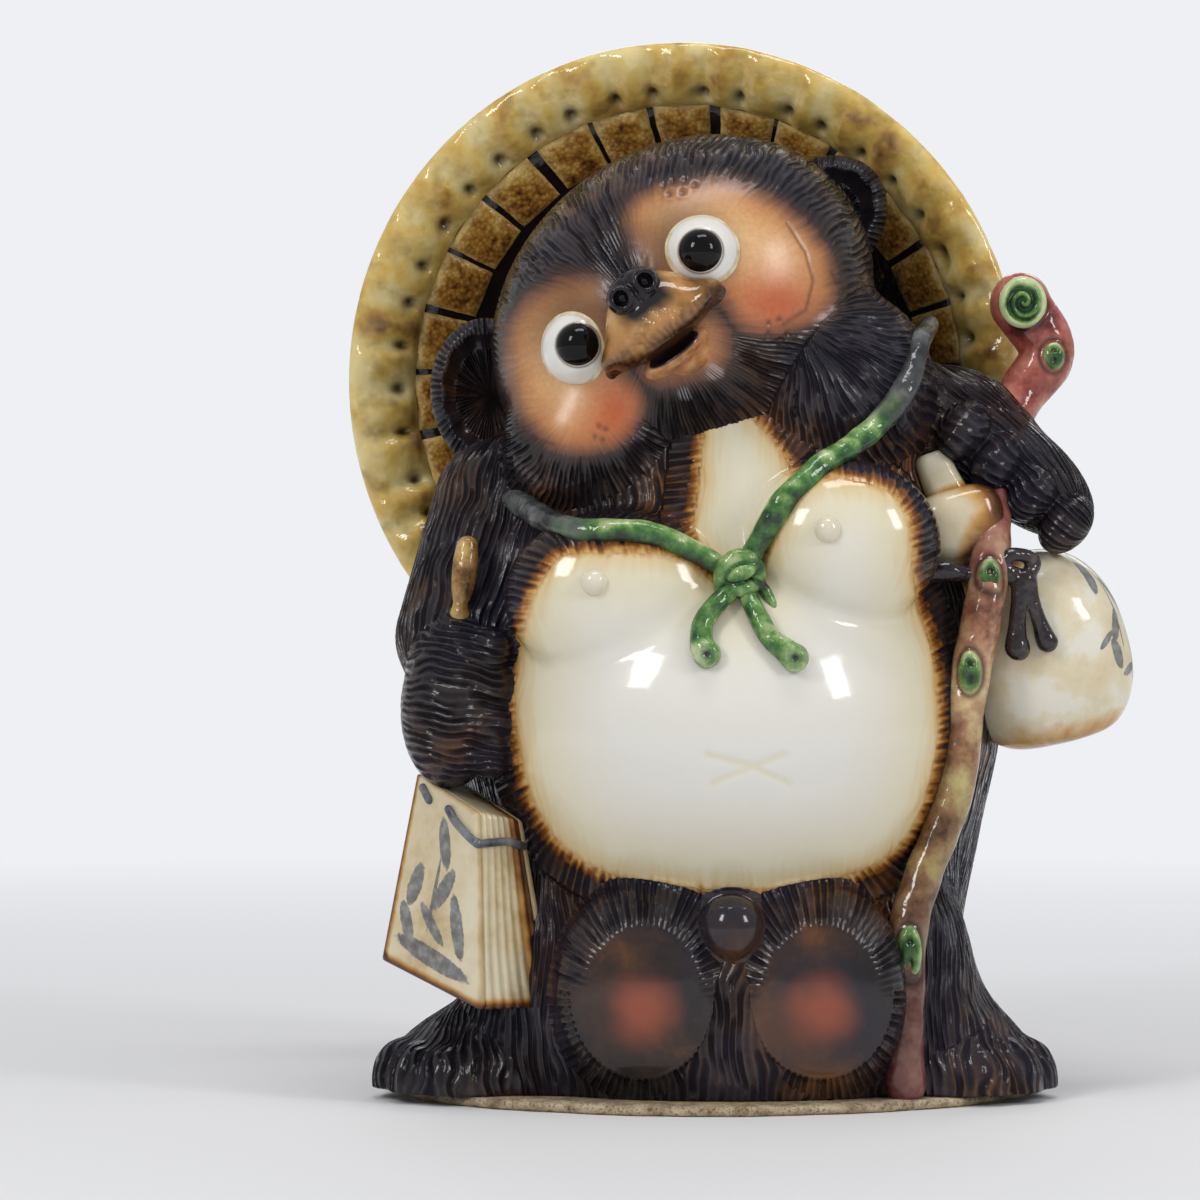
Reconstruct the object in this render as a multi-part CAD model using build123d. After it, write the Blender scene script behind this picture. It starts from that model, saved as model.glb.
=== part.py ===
"""A glazed stoneware tanuki that stands on its own base, 42 cm high.

The figure is slip-joined from press-moulded pieces: a hollow body in a front and a back half, a
hollow head in two halves, a dished straw hat, feet, arms, a ledger, a gourd flask and a staff.
Millimetres. +Z is up, the face looks towards -Y, and the origin is the centre of the vent hole
in the underside of the base. "Right" and "left" are the figure's own.
"""

from math import cos, radians, sin, sqrt
import os

from build123d import *

os.makedirs("parts", exist_ok=True)

# Base plate and body shell
wall = 6.0
base_thickness = 4.0
base_rx, base_ry, base_y = 130.0, 108.0, -4.0
vent_radius = 20.0
body_x, body_y = 5.0, 5.0
body_height = 290.0
body_foot, body_ankle, body_hip, body_waist = (104, 98), (94, 88), (101, 96), (110, 103)
body_chest, body_shoulder, body_collar, body_top = (108, 97), (100, 86), (86, 71), (60, 50)
belly_radii, belly_y, belly_z = (97.0, 95.0, 82.0), -22.0, 143.0
breast_right_radii, breast_right_x, breast_right_z = (43.0, 27.0, 33.0), -38.0, 194.0
breast_left_radii, breast_left_x, breast_left_z = (37.0, 27.0, 32.0), 48.0, 214.0
breast_y = -79.0
nipple_radius = 4.6

# Legs, feet, tail and the round pieces under the belly
foot_radii, foot_x, foot_y = (33.0, 42.0, 31.0), 96.0, -34.0
toe_radii, toe_count = (10.0, 11.0, 15.0), 5
toe_first, toe_last = 196.0, 318.0
leg_radii, leg_x, leg_y, leg_z = (31.0, 34.0, 60.0), 66.0, -44.0, 34.0
bag_radii, bag_x, bag_y, bag_z = (29.0, 22.0, 34.5), 33.5, -92.0, 43.0
knob_radius, knob_y, knob_z = 12.3, -96.0, 69.5
tail_radii, tail_x, tail_y, tail_z = (25.0, 26.0, 38.0), 8.0, 98.0, 44.0

# Head: an egg rolled towards the figure's right shoulder, with two full jowls
head_radii, head_x, head_y, head_roll = (80.0, 70.0, 66.0), -12.0, -18.0, -37.0
head_above_body = 14.0
neck_radius = 18.0
jowl_right_radii, jowl_right_place = (36.0, 34.0, 33.0), (-34.0, -27.0, -50.0)
jowl_left_radii, jowl_left_place = (40.0, 36.0, 40.0), (58.0, -20.0, -29.0)
face_middle = -12.5
eye_radius, eye_spread, eye_up, eye_sunk = 14.5, 29.0, 11.7, 7.0
pupil_radius, pupil_out = 8.6, 9.4
snout_radii, snout_up, snout_sunk = (26.0, 19.0, 13.5), 4.5, 2.0
nose_radii, nose_above_snout, nose_out = (12.0, 9.0, 8.5), 9.0, 14.0
lip_radii, lip_up, lip_sunk = (16.0, 12.0, 7.0), -15.0, 0.0
ear_radii, ear_scoop = (31.0, 12.0, 24.0), 6.0
ear_right_place, ear_right_turn = (-76.0, 22.0, -30.0), 8.0
ear_left_place, ear_left_turn = (54.0, 22.0, 38.0), -47.0

# Hat: a shallow dish with a rolled, dimpled rim, hung behind the head
hat_centre_x, hat_centre_y, hat_below_head = -13.0, 34.0, 25.0
hat_yaw, hat_tilt = -12.0, 5.0
hat_radius, rim_width, rim_thickness, dish_slope = 137.0, 27.0, 11.0, 35.0
band_width, crown_radius, crown_depth = 25.0, 52.0, 62.0
hat_wall = 8.0

# Right arm, with the fist round the toggle of a hanging ledger
arm_right_radius = 26.0
shoulder_right, wrist_right = (-84.0, -18.0, 230.0), (-98.0, -40.0, 178.0)
fist_radii, fist_centre = (20.0, 24.0, 33.0), (-101.0, -60.0, 153.0)
toggle_length, toggle_radius, toggle_lean = 30.0, 4.8, 6.0
ledger_low_corner, ledger_high_corner = (-90.0, -95.0, 38.0), (-91.0, -84.0, 112.0)
ledger_low_cover, ledger_low_pages = (-39.0, 40.0, 16.0), (29.0, 25.0, -1.0)
ledger_high_cover, ledger_high_pages = (-24.0, 29.0, 14.0), (17.0, 18.0, -4.0)
cover_share = 0.1

# Left arm, raised, with the paw round the staff and the flask's cord
arm_left_radii, arm_left_centre = (33.0, 25.0, 25.0), (95.0, -20.0, 259.0)
paw_radii, paw_centre, paw_turn = (36.0, 22.0, 19.0), (118.0, -32.0, 243.0), 39.0
finger_radii, finger_count = (12.0, 11.5, 9.5), 4
finger_first, finger_last = (96.0, -46.0, 258.0), (136.0, -44.0, 222.0)
staff_radius, staff_knob_radius, staff_elbow_radius = 7.5, 12.5, 10.0
staff_route = [
    (121.0, -14.0, 309.0),
    (133.0, -16.0, 288.0),
    (117.0, -20.0, 270.0),
    (110.0, -34.0, 245.0),
    (105.0, -60.0, 203.0),
    (98.0, -66.0, 170.0),
    (91.0, -67.0, 122.0),
    (73.0, -78.0, 70.0),
    (71.0, -82.0, 30.0),
]
staff_bend = 18.0
bottle_low_radii, bottle_low_centre, bottle_lean = (35.0, 30.0, 40.0), (127.0, -27.0, 172.0), -18.0
bottle_high_radii, bottle_high_centre = (18.0, 17.0, 16.0), (95.0, -44.0, 222.0)
bottle_foot_cut = 36.5
stopper_radius, stopper_length, stopper_lean = 7.5, 20.0, -24.0
waist_cord_radius = 3.4

# Chin cord with its bow
cord_radius = 4.4
chin_right_route = [
    (-90.0, -10.0, 245.0),
    (-77.0, -46.0, 230.0),
    (-55.0, -91.0, 219.0),
    (-27.0, -97.0, 218.0),
    (-8.0, -95.0, 210.0),
    (8.0, -93.0, 200.0),
]
chin_left_route = [
    (84.0, -32.0, 300.0),
    (78.0, -54.0, 290.0),
    (72.0, -67.0, 273.0),
    (59.0, -72.0, 257.0),
    (39.0, -89.0, 243.0),
    (25.0, -97.0, 230.0),
    (14.0, -92.0, 211.0),
    (8.0, -93.0, 200.0),
]
chin_bend = 16.0
bow_radii, bow_centre = (9.5, 7.0, 8.5), (8.0, -94.5, 200.0)
tassel_right_route = [(4.0, -98.0, 196.0), (-6.5, -105.0, 186.0), (-6.0, -111.0, 174.0)]
tassel_left_route = [(11.0, -98.0, 195.0), (17.0, -107.5, 181.0), (27.0, -110.0, 172.5)]
tassel_end_radius, tassel_bend = 6.2, 8.0

head_z = body_height + head_above_body
head_centre = (head_x, head_y, head_z)
hat_centre = (hat_centre_x, hat_centre_y, head_z - hat_below_head)


def plus(a, b):
    """Two points or steps added."""
    return tuple(p + q for p, q in zip(a, b))


def between(a, b, share):
    """The point at a share of the way from a to b."""
    return tuple(p + (q - p) * share for p, q in zip(a, b))


def ellipsoid(centre, radii, turn=(0, 0, 0), seam=0):
    """A ball stretched to three radii and turned, with its seam kept away from later cuts."""
    return Pos(*centre) * Rot(*turn) * scale(Rot(0, 0, seam) * Sphere(1), by=tuple(radii))


def largest(form):
    """The main solid of a cut form, without the chips that a cut leaves behind."""
    return max(form.solids(), key=lambda solid: solid.volume)


def fit(form, *neighbours):
    """The form cut back so that it sits face to face on its neighbours."""
    for neighbour in neighbours:
        form = form - neighbour
    return largest(form)


def tube(route, radius, bend):
    """A round rod along straight runs joined by arcs."""
    path = FilletPolyline(*route, radius=bend)
    return sweep(Plane(path @ 0, z_dir=path % 0) * Circle(radius), path)


def capsule(start, end, radius):
    """A rod with round ends."""
    run = Line(start, end)
    rod = sweep(Plane(start, z_dir=run % 0) * Circle(radius), run)
    return rod + Pos(*start) * Sphere(radius) + Pos(*end) * Sphere(radius)


def save(node, shape):
    """Writes one piece."""
    shape.label = node
    export_step(shape, f"parts/{node}.step")


# The body: a stack of ovals lofted into a jar, with the belly and the breasts swelling out of it
body_rings = [
    (base_thickness, body_foot),
    (body_height * 0.19, body_ankle),
    (body_height * 0.34, body_hip),
    (body_height * 0.50, body_waist),
    (body_height * 0.66, body_chest),
    (body_height * 0.78, body_shoulder),
    (body_height * 0.90, body_collar),
    (body_height, body_top),
]


def body_jar(inset):
    """The jar drawn in by an inset, open below when hollow."""
    rings = [
        Pos(body_x, body_y, height) * Ellipse(size[0] - inset, size[1] - inset)
        for height, size in body_rings
    ]
    return loft([ring.face() for ring in rings])


belly_centre = (body_x, belly_y, belly_z)
belly = ellipsoid(belly_centre, belly_radii)
belly_hollow = ellipsoid(belly_centre, [radius - wall for radius in belly_radii])
breast_right_centre = (breast_right_x, breast_y, breast_right_z)
breast_left_centre = (breast_left_x, breast_y, breast_left_z)
breast_right = ellipsoid(breast_right_centre, breast_right_radii)
breast_left = ellipsoid(breast_left_centre, breast_left_radii)
jar = body_jar(0)
body_form = jar + belly + breast_right + breast_left
body_hollow = body_jar(wall) + belly_hollow
body = [jar, belly, breast_right, breast_left]

head_place = Pos(*head_centre) * Rot(0, head_roll, 0)
jowl_right = ellipsoid(plus(head_centre, jowl_right_place), jowl_right_radii)
jowl_left = ellipsoid(plus(head_centre, jowl_left_place), jowl_left_radii)
egg = head_place * scale(Sphere(1), by=head_radii)
head_form = egg + jowl_right + jowl_left
head = [egg, jowl_right, jowl_left]
head_hollow = head_place * scale(Sphere(1), by=tuple(radius - wall for radius in head_radii))
for place, radii in ((jowl_right_place, jowl_right_radii), (jowl_left_place, jowl_left_radii)):
    head_hollow = head_hollow + ellipsoid(
        plus(head_centre, place), [radius - wall for radius in radii]
    )

front_half = Pos(0, -500, 0) * Box(1000, 1000, 1200)
back_half = Pos(0, 500, 0) * Box(1000, 1000, 1200)
above_base = Pos(0, 0, 500 + base_thickness) * Box(1000, 1000, 1000)

base = Pos(0, base_y, 0) * extrude(Ellipse(base_rx, base_ry), base_thickness)
base = base - Pos(0, 0, base_thickness / 2) * Cylinder(vent_radius, 3 * base_thickness)
save("base_slab", largest(base))

body_shell = (body_form - body_hollow - head_form) & above_base
save("torso_front", largest(body_shell & front_half))
save("torso_back", largest(body_shell & back_half))

neck_hole = Pos(head_centre[0], head_centre[1] + 18, head_z - head_radii[2]) * Cylinder(
    neck_radius, 2 * head_radii[2]
)
head_shell = head_form - head_hollow - neck_hole
save("head_front", largest(head_shell & front_half))
save("head_back", largest(head_shell & back_half))

for side, centre, radii in (
    ("right", breast_right_centre, breast_right_radii),
    ("left", breast_left_centre, breast_left_radii),
):
    tip = plus(centre, (-0.2 * radii[0], -0.96 * radii[1], 0.15 * radii[2]))
    save(f"nipple_{side}", fit(Pos(*tip) * Sphere(nipple_radius), *body))


# Feet with their toes, legs, and the pieces that hang and stand round them
def foot(side):
    """A domed foot with a row of toes round its front, side is -1 for the right foot."""
    centre = (side * foot_x, foot_y, base_thickness)
    form = ellipsoid(centre, foot_radii)
    for index in range(toe_count):
        angle = radians(toe_first + (toe_last - toe_first) * index / (toe_count - 1))
        reach_x, reach_y = foot_radii[0] - toe_radii[0] / 2, foot_radii[1] - toe_radii[1] / 2
        toe_centre = (
            centre[0] - side * reach_x * cos(angle),
            centre[1] + reach_y * sin(angle),
            base_thickness + 3,
        )
        form = form + ellipsoid(toe_centre, toe_radii)
    return form


leg_right = ellipsoid((body_x - leg_x, leg_y, leg_z), leg_radii)
leg_left = ellipsoid((body_x + leg_x, leg_y, leg_z), leg_radii)
bag_right = ellipsoid((body_x - bag_x, bag_y, bag_z), bag_radii)
bag_left = ellipsoid((body_x + bag_x, bag_y, bag_z), bag_radii)
tail = ellipsoid((tail_x, tail_y, tail_z), tail_radii)
knob = Pos(body_x, knob_y, knob_z) * Sphere(knob_radius)

save("leg_right", fit(leg_right & above_base, jar, belly))
save("leg_left", fit(leg_left & above_base, jar, belly))
save("foot_right", fit(foot(-1) & above_base, jar, leg_right))
save("foot_left", fit(foot(1) & above_base, jar, leg_left))
save("gold_bag_right", fit(bag_right, jar, belly, leg_right))
save("gold_bag_left", fit(bag_left, jar, belly, leg_left))
save("front_knob", fit(knob, jar, belly, bag_right, bag_left))
save("tail", fit(tail & above_base, jar))


# The face
def on_face(across, up, out):
    """A place on the rolled face, across and up from the head's centre, out from its surface."""
    share = 1 - (across / head_radii[0]) ** 2 - (up / head_radii[2]) ** 2
    return head_place * Pos(across, -head_radii[1] * sqrt(max(share, 0.05)) - out, up)


snout_form = on_face(face_middle, snout_up, -snout_sunk) * scale(Sphere(1), by=snout_radii)
for side, sign in (("right", -1), ("left", 1)):
    eye_place = on_face(face_middle + sign * eye_spread, eye_up, -eye_sunk)
    eye_ball = eye_place * Sphere(eye_radius)
    pupil = eye_place * Pos(0, -pupil_out, 1) * Sphere(pupil_radius)
    save(f"eye_{side}", fit(eye_ball, *head, snout_form))
    save(f"pupil_{side}", fit(pupil, eye_ball, egg, snout_form))
nose_form = on_face(face_middle, snout_up + nose_above_snout, nose_out)
nose_form = nose_form * scale(Sphere(1), by=nose_radii)
lip_form = on_face(face_middle, lip_up, -lip_sunk) * scale(Sphere(1), by=lip_radii)
save("snout", fit(snout_form, *head))
save("nose", fit(nose_form, snout_form, egg))
save("lower_lip", fit(lip_form, snout_form, *head))


def ear(place, turn):
    """A rounded ear lobe with a scoop in its front."""
    lobe = scale(Sphere(1), by=ear_radii)
    inner = (ear_radii[0] - ear_scoop, ear_radii[1], ear_radii[2] - ear_scoop)
    scoop = Pos(0, -ear_radii[1] * 0.75, 0) * scale(Sphere(1), by=inner)
    return Pos(*plus(head_centre, place)) * Rot(0, 90 - turn, 0) * (lobe - scoop)


ear_right = ear(ear_right_place, ear_right_turn)
ear_left = ear(ear_left_place, ear_left_turn)
save("ear_right", fit(ear_right, jar, *head))
save("ear_left", fit(ear_left, *head))

# The arms
arm_right = capsule(shoulder_right, wrist_right, arm_right_radius)
fist = ellipsoid(fist_centre, fist_radii, (0, 4, 0))
for index in range(4):
    knuckle = (
        fist_centre[0] + fist_radii[0] * 0.75,
        fist_centre[1] - fist_radii[1] * 0.35,
        fist_centre[2] + fist_radii[2] * (0.62 - 0.42 * index),
    )
    fist = fist + ellipsoid(knuckle, (7.5, 10.0, 7.6))
arm_left = ellipsoid(arm_left_centre, arm_left_radii, (0, 20, 0))
paw = ellipsoid(paw_centre, paw_radii, (0, paw_turn, 0), seam=-90)
for index in range(finger_count):
    spot = between(finger_first, finger_last, index / (finger_count - 1))
    paw = paw + ellipsoid(spot, finger_radii, (0, paw_turn, 0), seam=-90)

# The staff, planted on the base, and the flask that hangs beside it
staff_foot = (staff_route[-1][0], staff_route[-1][1], base_thickness)
staff = tube(staff_route + [staff_foot], staff_radius, staff_bend)
staff = staff + Pos(*staff_route[0]) * Sphere(staff_knob_radius)
staff = staff + Pos(*staff_route[1]) * Sphere(staff_elbow_radius)

bottle_low = ellipsoid(bottle_low_centre, bottle_low_radii, (0, bottle_lean, 0))
bottle_cut = Pos(*bottle_low_centre) * Rot(0, -12, 0) * Pos(0, 0, -bottle_foot_cut - 50)
bottle_low = bottle_low - bottle_cut * Box(200, 200, 100)
bottle_high = ellipsoid(bottle_high_centre, bottle_high_radii, (0, bottle_lean, 0))
bottle_neck = capsule(bottle_high_centre, bottle_low_centre, bottle_high_radii[2] * 0.75)
bottle = bottle_low + bottle_high + bottle_neck
stopper_place = Pos(*bottle_high_centre) * Rot(0, stopper_lean, 0)
stopper = stopper_place * Pos(0, 0, bottle_high_radii[2] + stopper_length / 2 - 6)
stopper = stopper * Cone(stopper_radius, stopper_radius * 0.7, stopper_length)

save("arm_right", fit(arm_right, *body, *head, ear_right))
save("hand_right", fit(fist, *body, arm_right))
save("staff", fit(staff, *body, leg_left, bag_left))
save("arm_left", fit(arm_left, *body, *head, ear_left, staff))
save("hand_left", fit(paw, arm_left, staff))
save("flask", fit(bottle, *body, arm_left, paw, staff))
save("flask_stopper", fit(stopper, bottle, *body, arm_left, paw))


# Knots on the staff: raised scars of cut twigs
knot_sites = [
    (staff_route[0], staff_knob_radius, 0.62),
    (staff_route[1], staff_elbow_radius, 0.45),
    (between(staff_route[5], staff_route[6], 0.05), staff_radius, 0.85),
    (between(staff_route[6], staff_route[7], 0.1), staff_radius, 0.75),
    (between(staff_route[7], staff_route[8], 0.25), staff_radius, 1.0),
]
knots = []
for centre, radius, size in knot_sites:
    spot = (centre[0], centre[1] - radius * 0.9, centre[2])
    knot_radii = (radius * 0.62, radius * 0.42, radius * (0.4 + size))
    knots.append(fit(ellipsoid(spot, knot_radii), staff, *body, bottle, leg_left))
save("staff_knots", Compound(knots))

# The ledger: a stack of pages between two covers, flaring downwards


def ledger_slice(start, end):
    """One layer of the ledger, counted from the front cover, by shares of its thickness."""
    ends = []
    for corner, cover, pages in (
        (ledger_low_corner, ledger_low_cover, ledger_low_pages),
        (ledger_high_corner, ledger_high_cover, ledger_high_pages),
    ):
        near = plus(corner, between((0, 0, 0), pages, start))
        far = plus(corner, between((0, 0, 0), pages, end))
        ring = [near, plus(near, cover), plus(far, cover), far]
        ends.append(Face(Wire(Polyline(*ring, close=True).edges())))
    return loft(ends, ruled=True)


ledger_near = [jar, belly, leg_right, foot(-1), fist]
save("ledger_front_cover", fit(ledger_slice(0, cover_share), *ledger_near))
save("ledger_pages", fit(ledger_slice(cover_share, 1 - cover_share), *ledger_near))
save("ledger_back_cover", fit(ledger_slice(1 - cover_share, 1), *ledger_near))

toggle_top = (fist_centre[0] + 3, fist_centre[1] - 2, fist_centre[2] + fist_radii[2] - 3)
toggle_place = Pos(*toggle_top) * Rot(0, toggle_lean, 0)
toggle = toggle_place * Pos(0, 0, toggle_length / 2) * Cylinder(toggle_radius, toggle_length)
toggle = toggle + toggle_place * Pos(0, 0, toggle_length) * Sphere(toggle_radius)
save("ledger_toggle", fit(toggle, fist, arm_right, *body))

# The hat: a coned dish turned about its own axis, and the rim rolled onto its edge
hat_place = Pos(*hat_centre) * Rot(0, 0, hat_yaw) * Rot(hat_tilt, 0, 0) * Rot(0, 90, 0)
slope_step = (cos(radians(dish_slope)), sin(radians(dish_slope)))
rim_inner = hat_radius - rim_width * slope_step[0]
rim_depth = rim_width * slope_step[1]
band_inner = rim_inner - band_width * slope_step[0]
band_depth = rim_depth + band_width * slope_step[1]
crown_bend = band_depth + (crown_depth - band_depth) * 0.7
inside = ThreePointArc((0, crown_depth), (crown_radius, crown_bend), (band_inner, band_depth))
edge = Polyline(
    (band_inner, band_depth),
    (rim_inner + 3, rim_depth - 2),
    (rim_inner + 3, rim_depth + hat_wall - 2),
    (band_inner, band_depth + hat_wall),
)
outside = Pos(0, hat_wall) * inside
spine = Line((0, crown_depth), (0, crown_depth + hat_wall))
hat_dish = hat_place * revolve(make_face(Curve() + [inside, edge, outside, spine]), Axis.Y)
rim_section = Pos((hat_radius + rim_inner) / 2, rim_depth / 2 + 2) * Rot(0, 0, -dish_slope)
rim_section = rim_section * Ellipse(rim_width / 2 + 1, rim_thickness / 2)
hat_rim = hat_place * revolve(rim_section, Axis.Y)
hat_near = [jar, *head, ear_right, ear_left, arm_left, arm_right, staff]
save("hat_dish", fit(hat_dish, hat_rim, *hat_near))
save("hat_rim", fit(hat_rim, *hat_near))

# The flask's cord: a band round the waist, a knot, and two hanging ends
cord_knot = (bottle_low_centre[0] - 9, bottle_low_centre[1] - 31, bottle_low_centre[2] + 28)
waist_route = [
    (bottle_high_centre[0] - 12, bottle_high_centre[1] - 16, bottle_high_centre[2] - 19),
    (bottle_high_centre[0] + 2, bottle_high_centre[1] - 15, bottle_high_centre[2] - 18),
    cord_knot,
]
flask_cord = tube(waist_route, waist_cord_radius, 12) + Pos(*cord_knot) * Sphere(5.0)
for reach in (-2.0, 7.0):
    end = plus(cord_knot, (reach, -2, -25))
    flask_cord = flask_cord + capsule(cord_knot, end, waist_cord_radius)
    flask_cord = flask_cord + Pos(*end) * Sphere(4.4)
save("flask_cord", fit(flask_cord, bottle, staff, *body, paw))

# The chin cord, its bow and the two tassels, laid on the chest
chin_near = [*body, *head, ear_right, arm_right, arm_left]
bow = ellipsoid(bow_centre, bow_radii)
save("chin_bow", fit(bow, *chin_near))
save("chin_cord_right", fit(tube(chin_right_route, cord_radius, chin_bend), bow, *chin_near))
save(
    "chin_cord_left",
    fit(tube(chin_left_route, cord_radius, chin_bend), bow, *chin_near),
)
for side, route in (("right", tassel_right_route), ("left", tassel_left_route)):
    tassel = tube(route, cord_radius, tassel_bend) + Pos(*route[-1]) * Sphere(tassel_end_radius)
    save(f"tassel_{side}", fit(tassel, bow, *chin_near))
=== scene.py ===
"""The looks of a glazed stoneware tanuki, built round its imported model.

Each section makes one piece, or a group of like pieces, with its sizes, its mesh and its glaze.
The clay is modelled in millimetres and written in metres. +Z is up and the face looks towards -Y.
"Right" and "left" are the figure's own.
"""

from math import cos, pi, radians, sin, sqrt

import bmesh
import bpy
import numpy as np
from mathutils import Matrix, Vector


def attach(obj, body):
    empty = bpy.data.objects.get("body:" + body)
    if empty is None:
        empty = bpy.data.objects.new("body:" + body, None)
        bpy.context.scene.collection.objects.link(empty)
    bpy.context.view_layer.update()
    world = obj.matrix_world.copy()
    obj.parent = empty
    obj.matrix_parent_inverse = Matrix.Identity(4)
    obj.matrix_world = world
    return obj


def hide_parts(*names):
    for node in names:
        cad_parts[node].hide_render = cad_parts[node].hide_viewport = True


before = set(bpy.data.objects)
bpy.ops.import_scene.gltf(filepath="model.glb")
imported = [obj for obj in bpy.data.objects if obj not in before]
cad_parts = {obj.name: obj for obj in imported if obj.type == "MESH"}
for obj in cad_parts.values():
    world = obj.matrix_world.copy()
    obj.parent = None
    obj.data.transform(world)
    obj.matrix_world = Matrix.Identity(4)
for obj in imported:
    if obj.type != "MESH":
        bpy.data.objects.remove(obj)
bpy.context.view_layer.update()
scene = bpy.context.scene
MM = 0.001


# The camera: level with the belly and square to the front, with a long lens 1.8 m away, so that
# the figure is seen almost without perspective.
camera_place = (-0.0445, -1.8, 0.1925)
camera_field = 0.2382 * 2
camera_sensor = 36.0

camera = bpy.data.objects.new("camera", bpy.data.cameras.new("camera"))
camera.location = camera_place
camera.rotation_euler = (radians(90), 0, 0)
camera.data.sensor_width = camera_sensor
camera.data.lens = camera_sensor * -camera_place[1] / camera_field
camera.data.clip_end = 50
scene.collection.objects.link(camera)
scene.camera = camera
scene.view_settings.view_transform = "Standard"


# The stage: a pale floor that fades into an even pale room, with soft boxes on both sides, above
# and behind, as in a small studio.
floor_size = 8.0
floor_colour = (0.80, 0.80, 0.81, 1)
room_colour = (0.86, 0.87, 0.90, 1)
room_light = 0.47
fade_start, fade_end = 0.25, 1.6

floor_mesh = bpy.data.meshes.new("floor")
half = floor_size / 2
floor_mesh.from_pydata(
    [(-half, -half, 0), (half, -half, 0), (half, half, 0), (-half, half, 0)], [], [(0, 1, 2, 3)]
)
floor = bpy.data.objects.new("floor", floor_mesh)
scene.collection.objects.link(floor)


def link(source, target):
    """Joins two sockets."""
    target.id_data.links.new(source, target)


def empty_material(name):
    """A material with its nodes, and its principled shader."""
    material = bpy.data.materials.new(name)
    material.use_nodes = True
    return material, material.node_tree.nodes["Principled BSDF"]


floor_paint, shader = empty_material("floor_paint")
shader.inputs["Base Color"].default_value = floor_colour
shader.inputs["Roughness"].default_value = 0.6
shader.inputs["Specular IOR Level"].default_value = 0.1
nodes = floor_paint.node_tree.nodes
glow = nodes.new("ShaderNodeEmission")
glow.inputs["Color"].default_value = room_colour
mixer = nodes.new("ShaderNodeMixShader")
fade = nodes.new("ShaderNodeMapRange")
fade.inputs["From Min"].default_value = fade_start
fade.inputs["From Max"].default_value = fade_end
place = nodes.new("ShaderNodeTexCoord")
reach = nodes.new("ShaderNodeVectorMath")
reach.operation = "LENGTH"
link(place.outputs["Object"], reach.inputs[0])
link(reach.outputs["Value"], fade.inputs["Value"])
link(fade.outputs["Result"], mixer.inputs["Fac"])
link(shader.outputs["BSDF"], mixer.inputs[1])
link(glow.outputs["Emission"], mixer.inputs[2])
link(mixer.outputs["Shader"], nodes["Material Output"].inputs["Surface"])
floor_mesh.materials.append(floor_paint)

world = bpy.data.worlds.new("room")
scene.world = world
world.use_nodes = True
nodes = world.node_tree.nodes
backdrop = nodes["Background"]
backdrop.inputs["Color"].default_value = room_colour
backdrop.inputs["Strength"].default_value = room_light
seen = nodes.new("ShaderNodeBackground")
seen.inputs["Color"].default_value = room_colour
seen.inputs["Strength"].default_value = 1.0
rays = nodes.new("ShaderNodeLightPath")
choose = nodes.new("ShaderNodeMixShader")
link(rays.outputs["Is Camera Ray"], choose.inputs["Fac"])
link(backdrop.outputs["Background"], choose.inputs[1])
link(seen.outputs["Background"], choose.inputs[2])
link(choose.outputs["Shader"], nodes["World Output"].inputs["Surface"])

soft_boxes = [
    ("box_left", (-1.05, -1.15, 1.15), (0.34, 0.62), 9.0),
    ("box_right", (1.25, -0.95, 0.95), (0.30, 0.6), 7.0),
    ("box_top", (0.1, -0.3, 1.9), (0.9, 0.4), 8.0),
    ("box_back", (0.2, 1.7, 1.2), (1.6, 0.8), 7.0),
]
aim = Vector((0.0, 0.0, 0.2))
for name, spot, size, power in soft_boxes:
    lamp = bpy.data.lights.new(name, "AREA")
    lamp.shape = "RECTANGLE"
    lamp.size, lamp.size_y = size
    lamp.energy = power
    holder = bpy.data.objects.new(name, lamp)
    holder.location = spot
    holder.rotation_euler = (aim - Vector(spot)).to_track_quat("-Z", "Y").to_euler()
    scene.collection.objects.link(holder)


# The body: a hollow press-moulded jar with a full belly and breasts, in a front and a back half.
# Its clay and that of the head and limbs is one skin, worked together with slip before firing.
body_centre = np.array((5.0, 5.0))
body_heights = (4.0, 55.1, 98.6, 145.0, 191.4, 226.2, 261.0, 290.0)
body_widths = (104.0, 94.0, 101.0, 110.0, 108.0, 100.0, 86.0, 60.0)
body_depths = (98.0, 88.0, 96.0, 103.0, 97.0, 86.0, 71.0, 50.0)
clay = []


def rounded(values, at, heights):
    """A smooth curve through values at the given heights."""
    slopes = np.gradient(np.array(values), np.array(heights))
    index = np.clip(np.searchsorted(heights, at) - 1, 0, len(heights) - 2)
    low, span = np.take(heights, index), np.diff(heights)[index]
    share = np.clip((at - low) / span, 0, 1)
    square, cube = share * share, share**3
    start, end = np.take(values, index), np.take(values, index + 1)
    return (
        start * (2 * cube - 3 * square + 1)
        + end * (3 * square - 2 * cube)
        + span * slopes[index] * (cube - 2 * square + share)
        + span * slopes[index + 1] * (cube - square)
    )


def add_clay(owner, distance, low, high, blend):
    """Adds a lump of clay to the skin, with its reach and how softly it runs into the rest."""
    clay.append((owner, distance, np.array(low, float), np.array(high, float), blend))


def stretched(centre, radii, turn=0.0):
    """Distance to a ball pressed to three radii and turned about the depth axis."""
    centre, radii = np.array(centre, float), np.array(radii, float)
    spin = np.array(Matrix.Rotation(radians(turn), 3, "Y"))

    def distance(points):
        square = ((points - centre) @ spin) ** 2
        near = np.sqrt(square @ radii**-2)
        return near * (near - 1) / (np.sqrt(square @ radii**-4) + 1e-9)

    return distance


def lump(owner, centre, radii, turn=0.0, blend=6.0):
    """Adds a pressed ball of clay."""
    reach = max(radii)
    low, high = np.array(centre) - reach, np.array(centre) + reach
    add_clay(owner, stretched(centre, radii, turn), low, high, blend)


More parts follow.
